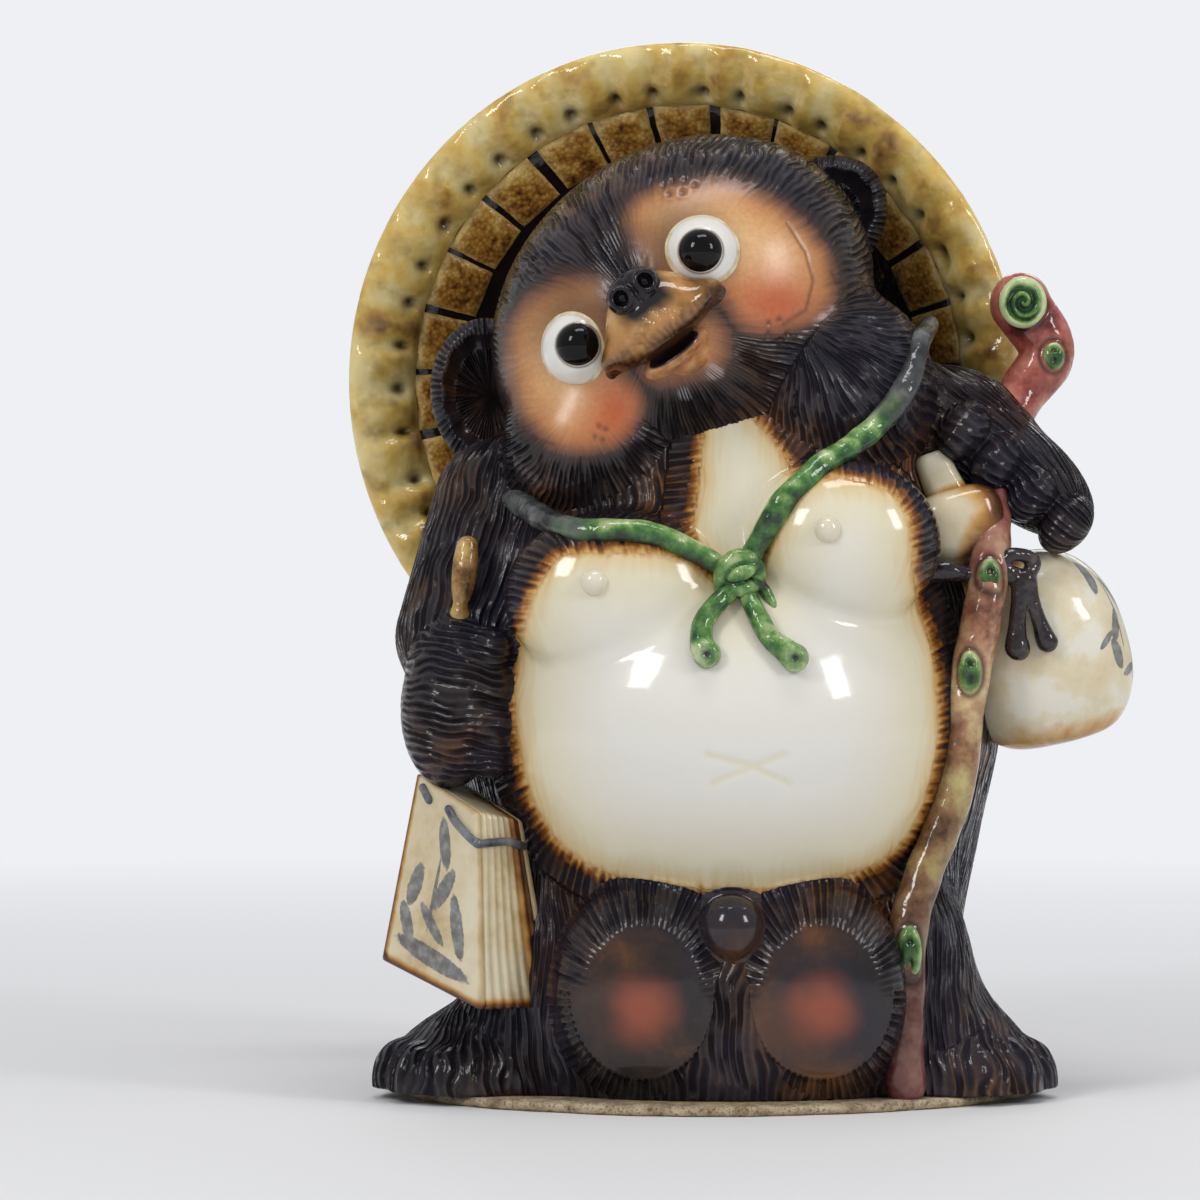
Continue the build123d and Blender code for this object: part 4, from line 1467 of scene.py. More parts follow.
# The modelled face: domed eyes in a rolled lid, black pupils, a broad bill of a snout with a
# two-holed nose, and a lower lip round a dark mouth. Each is a pat of clay luted onto the head.
eye_radius, eye_sunk = 14.5, 7.0
pupil_radius, pupil_out = 8.6, 9.4
lid_roll = 1.0


def face_spot(across, up, out):
    """A place on the rolled face, in millimetres: across, up, and out from its surface."""
    share = max(1 - (across / head_radii[0]) ** 2 - (up / head_radii[2]) ** 2, 0.05)
    local = np.array((across, -head_radii[1] * sqrt(share) - out, up))
    return head_centre + head_spin @ local


def seen_from_face(points, middle):
    """Places measured across, back and up from a spot on the rolled face."""
    return (points - middle) @ head_spin


eye_glaze, shader = empty_material("eye_glaze")
spot = object_place(eye_glaze)
ring = read(eye_glaze, "ring")
lid = read(eye_glaze, "lid")
eye_tone = ramp(
    sums("MULTIPLY_ADD", cloud(spot, 160.0, 2), 0.3, 0.35),
    [(0.35, (0.74, 0.71, 0.66)), (0.6, (0.83, 0.81, 0.76))],
)
lid_tone = ramp(
    cloud(spot, 220.0, 3),
    [(0.35, (0.62, 0.44, 0.22)), (0.55, (0.75, 0.64, 0.43)), (0.7, (0.80, 0.74, 0.58))],
)
eye_tone = blended(lid, eye_tone, lid_tone)
eye_tone = blended(ring, eye_tone, (0.13, 0.065, 0.03, 1))
glazed(shader, eye_tone, None, 0.06)
pupil_glaze, shader, _ = pooled_glaze(
    "pupil_glaze", [(0.3, (0.003, 0.002, 0.003)), (0.7, (0.006, 0.005, 0.005))], 0.01, 0.04, 0.05
)
shader.inputs["Specular IOR Level"].default_value = 0.22
uncarved = carved(lambda points: (np.zeros(len(points)), {}))
for side, sign in foot_turns.items():
    middle = face_spot(face_middle + sign * eye_spread, eye_up, -eye_sunk)
    gaze = middle + head_spin @ np.array((0, -pupil_out, 1.0))

    def lidded_eye(points, middle=middle):
        local = seen_from_face(points, middle)
        ball = np.linalg.norm(local, axis=1) - eye_radius
        lid = np.hypot(ball, head_forms[0](points) - 0.2) - lid_roll
        return soften(ball, lid, 0.7)

    def eye_marks(points, middle=middle, gaze=gaze):
        local = seen_from_face(points, middle)
        off = np.linalg.norm(seen_from_face(points, gaze)[:, [0, 2]], axis=1)
        above = head_forms[0](points)
        lid = 1 - ease(above, 1.0, 1.6)
        crease = 0.25 * hump(above - 1.3, 0.3) + hump(above + 0.1, 0.45)
        ring = hump(off - pupil_radius + 0.1, 0.4) * 0.85
        ring = np.where(local[:, 1] < -5, ring, 0) + 0.9 * crease
        return np.zeros(len(points)), {"lid": lid, "ring": np.clip(ring, 0, 1)}

    eye = cast(f"eye_{side}_ball", lidded_eye, middle - 17, middle + 17, 0.5, carved(eye_marks))
    hand_in(eye, eye_glaze, "eye_white", f"eye_{side}")
    dome = stretched(gaze, (pupil_radius, 8.2, pupil_radius), head_roll)
    pupil = cast(f"pupil_{side}_dome", dome, gaze - 10, gaze + 10, 0.5, uncarved)
    hand_in(pupil, pupil_glaze, "black_glaze", f"pupil_{side}")

snout_middle = face_spot(face_middle, 4.5, -2)
snout_forms = [
    stretched(face_spot(face_middle, -0.5, 0), (27.5, 17, 9.2), head_roll),
    stretched(face_spot(face_middle, 7.5, 1), (17, 16, 13), head_roll),
]
corners = [face_spot(-37.2, -4.0, -2.6), face_spot(12.6, -4.2, -2.6)]
whisker_spots = [(-22.9, -0.6), (-20.0, 1.3), (-16.8, 3.1), (-13.2, 3.65), (-8.9, 1.8), (-5.0, -1.1)]
bill_glaze, shader, bill_colour = pooled_glaze(
    "bill_glaze",
    [(0.12, (0.045, 0.018, 0.008)), (0.3, (0.22, 0.10, 0.028)), (0.42, (0.42, 0.20, 0.06)),
     (0.55, (0.57, 0.31, 0.11)), (0.75, (0.66, 0.44, 0.21))],
    0.022, 0.08, 0.2, "dark", -0.48,
)
inky = blended(read(bill_glaze, "inky"), bill_colour, (0.012, 0.010, 0.012, 1))
plug(inky, shader.inputs["Base Color"])


def snout_form(points):
    """The bill: a broad lip, a bridge up to the nose, and a rolled crease at each corner."""
    form = soften(snout_forms[0](points), snout_forms[1](points), 9.0)
    for middle in corners:
        form = soften(form, np.linalg.norm(points - middle, axis=1) - 2.9, 6.0)
    return form


def snout_marks(points):
    """Streaks down the bill, a dark lip, dots for whiskers and dimpled corners."""
    local = seen_from_face(points, head_centre)
    across, up = local[:, 0] - face_middle, local[:, 2]
    line = -8.8 + 0.003 * across**2
    lip = hump(up - line, 2.6)
    streak = 0.5 + 0.5 * np.sin(across * 2.3 + 2.5 * wander(points, 6))
    streak = streak * ease(2 - up, 0, 8)
    wide = np.abs(across)
    dark = (0.9 * lip + 0.2 * streak * (1 - lip)) * (1 - 0.5 * ease(wide, 22, 27))
    dark = dark + 0.4 * ease(wide, 13, 20) * (1 - ease(wide, 26, 30)) + 0.15 * ease(4 - up, 0, 9)
    depth = 0.08 * streak
    for spot_across, spot_up in whisker_spots:
        off = np.hypot(local[:, 0] - spot_across, up - spot_up)
        depth = depth - 0.8 * hump(off, 0.9) + 0.5 * hump(off - 2.2, 0.7)
    for middle in corners:
        off = np.linalg.norm((points - middle) @ head_spin[:, [0, 2]] - (0.3, -0.6), axis=1)
        depth = depth + 1.2 * hump(off, 2.2)
        dark = dark + 0.8 * hump(off, 3.0)
    inky = ease(up + 0.12 * wide + 2.5 * wander(points, 7), -1.0, 8)
    inky = inky * (1 - ease(wide, 7, 14))
    return depth, {"dark": np.clip(dark, 0, 1.2), "inky": inky}


snout = cast("snout_bill", snout_form, snout_middle - 36, snout_middle + 36, 0.6, carved(snout_marks))
hand_in(snout, bill_glaze, "face_glaze", "snout")

nose_middle = face_spot(face_middle - 0.8, 15.0, 12)
nostrils = [nose_middle + head_spin @ np.array((side * 5.4, -6.2, 0.8)) for side in (-1, 1)]


def nose_form(points):
    """A nose of two rolled nostrils with a furrow between."""
    form = stretched(nose_middle, (10.6, 9, 8.4), head_roll)(points)
    for hole in nostrils:
        behind = points - hole - head_spin @ np.array((0, 3.4, 0))
        form = soften(form, np.linalg.norm(behind, axis=1) - 5.6, 2.0)
    for hole in nostrils:
        form = -soften(-form, np.linalg.norm(points - hole, axis=1) - 3.1, 0.9)
    return form


def nose_marks(points):
    """The furrow between the nostrils and a fine rim round each."""
    local = seen_from_face(points, nose_middle)
    furrow = hump(local[:, 0], 0.9) * (local[:, 1] < 0)
    depth = 1.1 * furrow
    for hole in nostrils:
        off = np.linalg.norm(seen_from_face(points, hole)[:, [0, 2]], axis=1)
        depth = depth - 0.8 * hump(off - 4.0, 0.6) * (local[:, 1] < 0)
    return depth, {"brown": ease(-local[:, 2], 2, 9)}


nose_glaze, shader, _ = pooled_glaze(
    "nose_glaze",
    [(0.35, (0.008, 0.007, 0.009)), (0.6, (0.020, 0.016, 0.020)), (0.9, (0.14, 0.06, 0.02))],
    0.008, 0.07, 0.2, "brown", 0.35,
)
shader.inputs["Specular IOR Level"].default_value = 0.3
nose = cast("nose_nostrils", nose_form, nose_middle - 15, nose_middle + 15, 0.45, carved(nose_marks))
hand_in(nose, nose_glaze, "black_glaze", "nose")

lip_middle = face_spot(-14.0, -12.6, 0)
lip_forms = [stretched(lip_middle, (14.5, 12, 5.6), head_roll)]
lip_forms.append(stretched(face_spot(-9.5, -17, -5), (9, 8, 6.2), head_roll))
mouth_hole = stretched(face_spot(-14.3, -9.4, 11), (12.5, 8, 3.6), head_roll)


def lip_form(points):
    """The lower lip and chin with the mouth pressed into them."""
    form = soften(lip_forms[0](points), lip_forms[1](points), 4.0)
    return -soften(-form, mouth_hole(points), 1.5)


def lip_marks(points):
    """Dark inside the mouth."""
    dark = 1 - ease(mouth_hole(points), 0.1, 1.6)
    return 0.15 * wander(points, 6), {"dark": dark}


lip_glaze, _, _ = pooled_glaze(
    "lip_glaze",
    [(0.05, (0.012, 0.008, 0.009)), (0.25, (0.06, 0.022, 0.012)), (0.42, (0.36, 0.14, 0.05)),
     (0.56, (0.60, 0.30, 0.12)), (0.75, (0.68, 0.42, 0.20))],
    0.02, 0.09, 0.2, "dark", -0.6,
)
lip = cast("lower_lip_pat", lip_form, lip_middle - 24, lip_middle + 24, 0.5, carved(lip_marks))
hand_in(lip, lip_glaze, "face_glaze", "lower_lip")


# The nipples: two dots of clay pressed onto the breasts with a fingertip, under the same cream
# glaze as the belly.
cream_glaze, _, _ = pooled_glaze(
    "cream_glaze",
    [(0.3, (0.66, 0.56, 0.38)), (0.5, (0.76, 0.69, 0.54)), (0.7, (0.80, 0.76, 0.66))], 0.03, 0.1, 0.15
)
for side, middle in (("right", (-46.6, -104.9, 199.0)), ("left", (40.6, -104.9, 218.8))):
    dot = stretched(middle, (5.0, 4.4, 5.0))
    middle = np.array(middle)
    piece = cast(f"nipple_{side}_dot", dot, middle - 6, middle + 6, 0.5, uncarved)
    hand_in(piece, cream_glaze, "cream_glaze", f"nipple_{side}")


# The ledger: an account book of thrown slabs hanging from the fist, a stack of pages between two
# covers. Cream glaze, fluted page ends, a bound top edge and a few loose strokes of grey-blue.
book_low = (np.array((-90, -95, 38)), np.array((-39, 40, 16)), np.array((29, 25, -1)))
book_high = (np.array((-91, -84, 112)), np.array((-24, 29, 14)), np.array((17, 18, -4)))
cover_sizes, cover_share = (52, 3.6, 78), 0.1


def brushed(flat, strokes):
    """Where a brush touched: leaf shapes of place, length, width and turn on a flat layout."""
    total = None
    for x, y, length, width, turn in strokes:
        spot = grow(
            "ShaderNodeMapping", vector_type="TEXTURE", Vector=flat, Location=(x, y, 0),
            Rotation=(0, 0, radians(turn)), Scale=(length / 2, width / 2, 1.0),
        )
        reach = grow("ShaderNodeVectorMath", output="Value", operation="LENGTH", Vector=spot)
        leaf = 1.0 - reach
        total = leaf if total is None else sums("MAXIMUM", total, leaf)
    hairs = cloud(flat, 0.55, 3)
    total = sums("MULTIPLY_ADD", hairs, 0.35, total)
    total = (total - 0.16) * 9.0
    return held(total, 0.0, 1.0)


def brush_tone(flat):
    """Grey-blue iron wash, thinner in places."""
    return ramp(
        cloud(flat, 0.22, 4),
        [(0.3, (0.055, 0.062, 0.085)), (0.5, (0.13, 0.145, 0.175)), (0.68, (0.27, 0.28, 0.29))],
    )


def slab(name, place, sizes, rounding, step, marks_of):
    """A closed slab with rolled edges; a rule puts its shares of three sides in their place."""
    half = np.array(sizes, float) / 2
    lines = [np.linspace(-h, h, max(4, int(2 * h / step)) + 1) for h in half]
    points, faces, start = [], [], 0
    for axis in range(3):
        u, v = (axis + 1) % 3, (axis + 2) % 3
        for end in (-1, 1):
            grid_u, grid_v = np.meshgrid(lines[u], lines[v], indexing="ij")
            sheet = np.zeros((*grid_u.shape, 3))
            sheet[..., axis], sheet[..., u], sheet[..., v] = end * half[axis], grid_u, grid_v
            index = start + np.arange(grid_u.size).reshape(grid_u.shape)
            quads = [index[:-1, :-1], index[1:, :-1], index[1:, 1:], index[:-1, 1:]]
            faces.append(np.stack(quads, -1).reshape(-1, 4))
            points.append(sheet.reshape(-1, 3))
            start += grid_u.size
    points = np.concatenate(points)
    core = np.clip(points, -(half - rounding), half - rounding)
    step_out = points - core
    points = core + rounding * step_out / (np.linalg.norm(step_out, axis=1)[:, None] + 1e-9)
    shares = points / (2 * half) + 0.5
    thing = build_mesh(name, place(shares), np.concatenate(faces), marks_of(shares))
    form = bmesh.new()
    form.from_mesh(thing.data)
    bmesh.ops.remove_doubles(form, verts=form.verts, dist=0.01 * MM)
    bmesh.ops.recalc_face_normals(form, faces=form.faces)
    form.to_mesh(thing.data)
    form.free()
    return thing


def book_place(start, end):
    """The rule for one layer of the book, between two shares of its thickness."""

    def place(shares):
        across, thick, up = shares[:, 0:1], shares[:, 1:2], shares[:, 2:3]
        layer = start + (end - start) * thick
        low = book_low[0] + across * book_low[1] + layer * book_low[2]
        high = book_high[0] + across * book_high[1] + layer * book_high[2]
        return low + (high - low) * up

    return place


def flutes(shares):
    """The wavy ends of the pages, 0 to 1."""
    return np.abs(np.sin(shares[:, 1] * pi * 6.5 + 0.5 * np.sin(shares[:, 2] * 5))) ** 0.7


def page_place(shares):
    """The pages, a little short of the covers, with their ends fluted and slightly fanned."""
    points = book_place(cover_share, 1 - cover_share)(shares)
    thick = shares[:, 1]
    ends = ease(0.08 - shares[:, 0], 0, 0.08) * ease(thick, 0.0, 0.06) * ease(1 - thick, 0.0, 0.06)
    inward = np.array((-0.6, 0.6, 0.2))
    return points + (ends * (1.5 - 1.6 * flutes(shares)))[:, None] * inward


def layout(shares):
    """The flat layout of a slab in millimetres."""
    return shares[:, [0, 2, 1]] * (cover_sizes[0], cover_sizes[2], 30)


def book_marks(shares):
    """The flat layout, how near an edge a point is, and where the glaze is scorched."""
    across, up = shares[:, 0], shares[:, 2]
    rim = np.minimum(np.minimum(across, 1 - across), np.minimum(up, 1 - up))
    burnt = ease(0.05 - up, -0.02, 0.05) + 0.8 * ease(across - 0.93, -0.02, 0.06)
    return {"flat": layout(shares), "rim": 1 - ease(rim, 0.0, 0.03), "burnt": burnt}


def page_marks(shares):
    """The flutes of the page ends and the burnt amber along their far edge."""
    burnt = ease(shares[:, 1], 0.55, 1.05) + ease(0.06 - shares[:, 2], -0.02, 0.06)
    return {"flat": layout(shares), "rim": 0.75 * (1 - flutes(shares)), "burnt": burnt}


leaf_spray = [
    (24, 58, 21, 8.5, 75), (40, 36, 20, 8.0, 105), (42, 20, 17, 7.0, 62), (22, 40, 24, 7.0, 122),
    (13, 28, 26, 8.0, 78), (28, 24, 20, 6.0, 40), (26, 11, 42, 8.5, 4), (28, 36, 34, 2.2, 98),
]


def paper_glaze(name, strokes=None, pale=0.0):
    """Cream glaze that burns to amber at the edges, with or without brushwork; on the flask the same
    amber also stands for painted shade near the staff and under the paw.
    """
    material, shader, tone = pooled_glaze(
        name,
        [(0.25 - pale, (0.52, 0.38, 0.19)), (0.45 - pale, (0.70, 0.58, 0.37)),
         (0.65 - pale, (0.77, 0.69, 0.50)), (0.85 - 2 * pale, (0.80, 0.76, 0.64))],
        0.02, 0.12, 0.2, "rim", -0.25,
    )
    flat = read(material, "flat", "Vector")
    # Amber from burnt edges, and on the flask painted shade as well.
    burn_and_shade_tint = sums("MULTIPLY_ADD", cloud(flat, 0.12, 3), 0.5, -0.2)
    burn_and_shade_tint = read(material, "burnt") + burn_and_shade_tint
    burn_and_shade_tint = ramp(
        burn_and_shade_tint,
        [(0.15, (1, 1, 1)), (0.45, (0.80, 0.52, 0.22)), (0.75, (0.30, 0.12, 0.04)),
         (1.0, (0.10, 0.04, 0.02))],
    )
    if strokes:
        ink = brushed(flat, strokes)
        tone = blended(ink * 0.85, tone, brush_tone(flat))
    tone = blended(1.0, tone, burn_and_shade_tint, "MULTIPLY")
    plug(tone, shader.inputs["Base Color"])
    return material


cover_glaze = paper_glaze("cover_glaze", leaf_spray)
page_glaze = paper_glaze("page_glaze")
front_cover = slab("ledger_cover_a", book_place(0, cover_share), cover_sizes, 1.3, 1.3, book_marks)
hand_in(front_cover, cover_glaze, "cream_glaze", "ledger_front_cover")
pages = slab("ledger_page_stack", page_place, (51, 30, 77), 0.8, 1.0, page_marks)
hand_in(pages, page_glaze, "cream_glaze", "ledger_pages")
back_cover = slab("ledger_cover_b", book_place(1 - cover_share, 1), cover_sizes, 1.3, 1.3, book_marks)
hand_in(back_cover, page_glaze, "cream_glaze", "ledger_back_cover")


# The binding: a thong that runs through the top of the book. It is a thin roll of clay pressed onto
# the cover and the page ends, under a dark grey-blue glaze.
thong_glaze, _, _ = pooled_glaze(
    "thong_glaze",
    [(0.3, (0.035, 0.037, 0.045)), (0.52, (0.14, 0.15, 0.175)), (0.72, (0.28, 0.29, 0.29))],
    0.008, 0.12, 0.2,
)


def smooth_line(corners, steps=8):
    """Points of a smooth open line through corners, with any widths carried along."""
    corners = np.array(corners, float)
    before, after = 2 * corners[:1] - corners[1:2], 2 * corners[-1:] - corners[-2:-1]
    line = np.concatenate((before, corners, after))
    share = (np.arange(steps) / steps)[:, None]
    made = [bend(*four, share) for four in zip(line[:-3], line[1:-2], line[2:-1], line[3:])]
    return np.concatenate(made + [corners[-1:]])


def strand(corners, steps=8):
    """Distance to a rolled strand whose corners are x, y, z and radius, and the share run."""
    line = smooth_line(corners, steps)
    lengths = np.linalg.norm(np.diff(line[:, :3], axis=0), axis=1)
    starts = np.concatenate(([0], np.cumsum(lengths)))

    def distance(points):
        best, run = np.full(len(points), 1e3), np.zeros(len(points))
        for index, (a, b) in enumerate(zip(line[:-1], line[1:])):
            ahead = b[:3] - a[:3]
            step = points - a[:3]
            share = np.clip(step @ ahead / (ahead @ ahead), 0, 1)
            step = step - share[:, None] * ahead
            away = np.sqrt(np.einsum("ij,ij->i", step, step)) - a[3] - share * (b[3] - a[3])
            nearer = away < best
            best = np.where(nearer, away, best)
            run = np.where(nearer, starts[index] + share * lengths[index], run)
        return best, run / starts[-1]

    return distance


def cast_strands(name, strands, step, marks_of=None, blend=1.0):
    """One closed piece of several strands, run together."""
    ends = np.concatenate([np.array(corners, float) for corners in strands])
    margin = ends[:, 3:4] + 3
    low, high = np.min(ends[:, :3] - margin, 0), np.max(ends[:, :3] + margin, 0)
    lines = [strand(corners) for corners in strands]

    def measure(points):
        form = lines[0](points)[0]
        for line in lines[1:]:
            form = soften(form, line(points)[0], blend)
        return form

    def marks(points):
        if marks_of is None:
            return np.zeros(len(points)), {}
        return marks_of(points, lines)

    return cast(name, measure, low, high, step, carved(marks))


def on_cover(across, up, out=1.2):
    """A place on the front cover, by shares, standing out from it."""
    spot = book_place(0, cover_share)(np.array([(across, 0.0, up)]))[0]
    return (*(spot + np.array((-0.62, -0.75, 0.1)) * out), 1.7)


def on_pages(thick, up, out=0.4):
    """A place on the page ends, by shares, standing out from them."""
    spot = book_place(0, 1)(np.array([(0.0, thick, up)]))[0]
    return (*(spot + np.array((0.5, -0.8, -0.1)) * out), 1.7)


thong = [
    [on_cover(0.42, 0.93), on_cover(0.3, 0.89), on_cover(0.12, 0.86), on_cover(0.0, 0.845, 0.6)],
    [on_pages(0.02, 0.845), on_pages(0.3, 0.86), on_pages(0.62, 0.875), on_pages(0.9, 0.86)],
    [on_cover(0.86, 0.95, 0.4), on_cover(0.74, 0.91, 0.4)],
]
binding = cast_strands("ledger_thong", thong, 0.6)
hand_in(binding, thong_glaze, "cord_glaze", "ledger_front_cover")


# The toggle: the gold bead and knot that pin the ledger's cord above the fist. Both are rolled clay,
# luted to the arm, under an amber glaze.
toggle_glaze, _, _ = pooled_glaze(
    "toggle_glaze",
    [(0.3, (0.10, 0.045, 0.015)), (0.45, (0.32, 0.17, 0.05)), (0.6, (0.52, 0.34, 0.12)),
     (0.8, (0.66, 0.50, 0.24))],
    0.009, 0.12, 0.5,
)
toggle = [
    [(-98.3, -63.5, 184, 3.4), (-98.2, -64.5, 187, 3.8), (-98.0, -64.0, 190.4, 2.6)],
    [(-98.0, -63.8, 191, 2.8), (-97.0, -63.5, 198, 4.5), (-96.2, -62.5, 206, 4.9),
     (-95.4, -61, 213, 4.2)],
]
beads = cast_strands("ledger_toggle_beads", toggle, 0.55, blend=0.8)
hand_in(beads, toggle_glaze, "toggle_glaze", "ledger_toggle")


# The staff: a rolled stick of clay, pink-red at its flared top, tan by the belly and purple-brown at
# the foot, with green scars where twigs were cut. The top scar is a coiled pad with a spiral groove.
staff_route = [
    (121, -14, 309, 12.6), (131, -15, 290, 10.6), (120, -19, 271, 9.0), (110, -34, 245, 7.6),
    (105, -60, 203, 7.5), (98, -66, 170, 7.8), (91, -67, 122, 7.4), (73, -78, 70, 7.6),
    (71, -82, 30, 7.4), (71, -82, 8.6, 8.1),
]
scars = [
    ((121, -25.2, 309), (9.4, 4.2, 10.2)), ((133, -24.6, 288), (4.4, 3.2, 5.6)),
    ((104.4, -66.6, 200), (4.4, 3.4, 8.6)), ((96.4, -72.6, 165), (4.4, 3.2, 8.2)),
    ((72.6, -86.0, 59), (4.6, 3.2, 10.6)),
]
staff_line = strand(staff_route)
staff_glaze, shader, staff_tone = pooled_glaze(
    "staff_glaze",
    [(0.30, (0.10, 0.025, 0.02)), (0.44, (0.30, 0.085, 0.055)), (0.56, (0.46, 0.17, 0.11)),
     (0.72, (0.58, 0.29, 0.17))],
    0.014, 0.1, 0.5,
)
spot = object_place(staff_glaze)
height = grow("ShaderNodeSeparateXYZ", Vector=spot)["Z"]
drift = sums("MULTIPLY_ADD", cloud(spot, 45.0, 3), 0.06, height)
zone = ramp(
    drift * 2.5,
    [
        (0.08, (0.42, 0.40, 0.52)), (0.2, (0.40, 0.55, 0.60)), (0.34, (0.75, 1.4, 0.9)),
        (0.5, (1.3, 2.2, 1.9)), (0.64, (0.6, 0.5, 0.7)), (0.76, (1.0, 0.85, 0.95)),
    ],
)
tone = blended(1.0, staff_tone, zone, "MULTIPLY")
tone = blended(read(staff_glaze, "groove") * 0.8, tone, (0.035, 0.015, 0.012, 1))
plug(tone, shader.inputs["Base Color"])


def staff_marks(points, lines):
    """Scraped facets along the stick and a pinched collar round each scar."""
    run = lines[0](points)[1] * 300
    angle = np.arctan2(points[:, 0] - 100, points[:, 1] + 40)
    facet = 0.45 * np.sin(3 * angle + run / 14) + 0.35 * wander(points, 11)
    collar = np.zeros(len(points))
    for middle, radii in scars:
        near = stretched(middle, radii)(points)
        collar = collar + hump(near - 1.2, 0.9)
    return facet + 0.5 * collar, {"groove": np.clip(collar, 0, 1)}


stick = cast_strands("staff_stick", [staff_route], 0.8, staff_marks)
hand_in(stick, staff_glaze, "staff_glaze", "staff")

scar_glaze, _, _ = pooled_glaze(
    "scar_glaze",
    [(0.2, (0.008, 0.018, 0.010)), (0.42, (0.03, 0.085, 0.022)), (0.56, (0.10, 0.21, 0.05)),
     (0.72, (0.30, 0.42, 0.16)), (0.9, (0.55, 0.62, 0.33))],
    0.008, 0.08, 0.3, "tone", 0.55,
)
for index, (middle, radii) in enumerate(scars):
    middle, radii = np.array(middle, float), np.array(radii)
    pad = stretched(middle, radii)

    def scar_marks(points, middle=middle, radii=radii, spiral=index == 0):
        flat = (points - middle)[:, [0, 2]] / radii[[0, 2]]
        far = np.linalg.norm(flat, axis=1)
        front = ease(middle[1] - points[:, 1], -1, 1)
        if spiral:
            wind = far * 2.3 - np.arctan2(flat[:, 1], flat[:, 0]) / (2 * pi)
            trough = 0.5 - 0.5 * np.cos(wind * 2 * pi)
            trough = (1 - trough) * ease(0.86 - far, 0, 0.1) * front
            return 1.9 * trough, {"tone": 0.75 * ease(far, 0.55, 0.95) - 0.6 * trough + 0.1}
        pit = hump(np.hypot(flat[:, 0], (flat[:, 1] - 0.45) * 1.6), 0.3) * front
        lower = hump(np.hypot(flat[:, 0], (flat[:, 1] + 0.35) * 1.2), 0.3) * front
        trough = pit + 0.7 * lower
        return 2.0 * trough, {"tone": 0.35 * ease(far, 0.5, 1.0) - 0.6 * trough}

    reach = radii + 3
    scar = cast(f"staff_scar_{index}", pad, middle - reach, middle + reach, 0.5, carved(scar_marks))
    hand_in(scar, scar_glaze, "green_glaze", "staff_knots")


# The flask: a gourd in two bulbs, hung under the paw. Cream glaze, amber in its creases, with a few
# grey-blue brush strokes on its side, a tapered stopper and a dark cord knotted round its waist.
bulb_low, bulb_low_radii = np.array((127.0, -27.0, 172.0)), np.array((35.0, 30.0, 40.0))
bulb_high, bulb_high_radii = np.array((95.0, -44.0, 222.0)), np.array((17.6, 16.0, 14.2))
flask_lean = -18.0
foot_spin = np.array(Matrix.Rotation(radians(-12), 3, "Y"))


flask_low = rounded_box(bulb_low, bulb_low_radii, flask_lean, 2.35)
flask_high = rounded_box(bulb_high, bulb_high_radii, -14, 3.2)
flask_waist = rod((99, -43, 212), (112, -36, 194), 11.0)


def flask_form(points):
    """Both bulbs and the waist, cut flat under the foot."""
    form = soften(flask_low(points), flask_waist(points), 9.0)
    form = soften(form, flask_high(points), 3.0)
    foot = -36.5 - ((points - bulb_low) @ foot_spin)[:, 2]
    return -soften(-form, -foot, 5.0)


def flask_marks(points):
    """How close a point is to the waist, the crease, the foot, the staff and the paw, and the flat
    layout of the lower bulb; the amber near the staff and under the paw is painted shade.
    """
    local = (points - bulb_low) @ foot_spin
    waist = hump(flask_waist(points), 5.0) * ease(points[:, 2], 186, 205)
    crease = 1 - ease(np.abs(flask_low(points) - flask_high(points)), 2, 15)
    foot = 1 - ease(local[:, 2], -37, -22)
    # Painted shade: the flask darkens to amber where the staff passes close and under the paw.
    near_staff = 1 - ease(staff_line(points)[0], 0, 9)
    near_paw = 1 - ease(np.linalg.norm((points - (118, -32, 243)) / (36, 26, 22), axis=1), 1.0, 1.55)
    burnt = 0.7 * crease + 0.5 * foot + 0.7 * near_staff + 0.6 * near_paw + 0.1 * waist
    turn = np.arctan2(local[:, 0], -local[:, 1])
    marks = {"flat": np.stack([turn * 32, local[:, 2], 0 * turn], 1), "burnt": burnt}
    marks["rim"] = 0.3 * foot
    return 0.3 * wander(points, 18), marks


flask_strokes = [
    (32, 27, 20, 6.4, 68), (41, 17, 17, 4.2, 105), (33, 5, 15, 4.6, 62), (30, -6, 13, 5.0, 100),
    (37, -13, 10, 4.0, 20), (26, 0, 10, 2.6, 40), (49, 5, 16, 4.0, 80), (36, 12, 36, 1.1, 84),
]
flask_glaze = paper_glaze("flask_glaze", flask_strokes, 0.13)
flask = cast("flask_gourd", flask_form, (74, -70, 128), (168, 12, 242), 0.8, carved(flask_marks))
hand_in(flask, flask_glaze, "cream_glaze", "flask")

stopper_spin = np.array(Matrix.Rotation(radians(-24), 3, "Y"))


def stopper_form(points):
    """A tapered plug with soft edges."""
    local = (points - bulb_high) @ stopper_spin
    wide = 9.0 - 0.14 * (local[:, 2] - 10)
    side = np.sum((np.abs(local[:, :2]) / wide[:, None]) ** 3.0, axis=1) ** (1 / 3) - 1
    return -soften(-side * wide, -(np.abs(local[:, 2] - 20) - 10.0), 3.0)


def stopper_marks(points):
    """Amber where it sits in the neck."""
    local = (points - bulb_high) @ stopper_spin
    burnt = 1 - ease(local[:, 2], 11, 18)
    flat = np.stack([local[:, 0], local[:, 2], 0 * burnt], 1)
    return 0.25 * wander(points, 8), {"burnt": 0.8 * burnt, "flat": flat, "rim": 0 * burnt}


stopper_middle = bulb_high + stopper_spin @ np.array((0, 0, 20))
stopper = cast("flask_stopper_plug", stopper_form, stopper_middle - 17, stopper_middle + 17, 0.6,
               carved(stopper_marks))
hand_in(stopper, page_glaze, "cream_glaze", "flask_stopper")

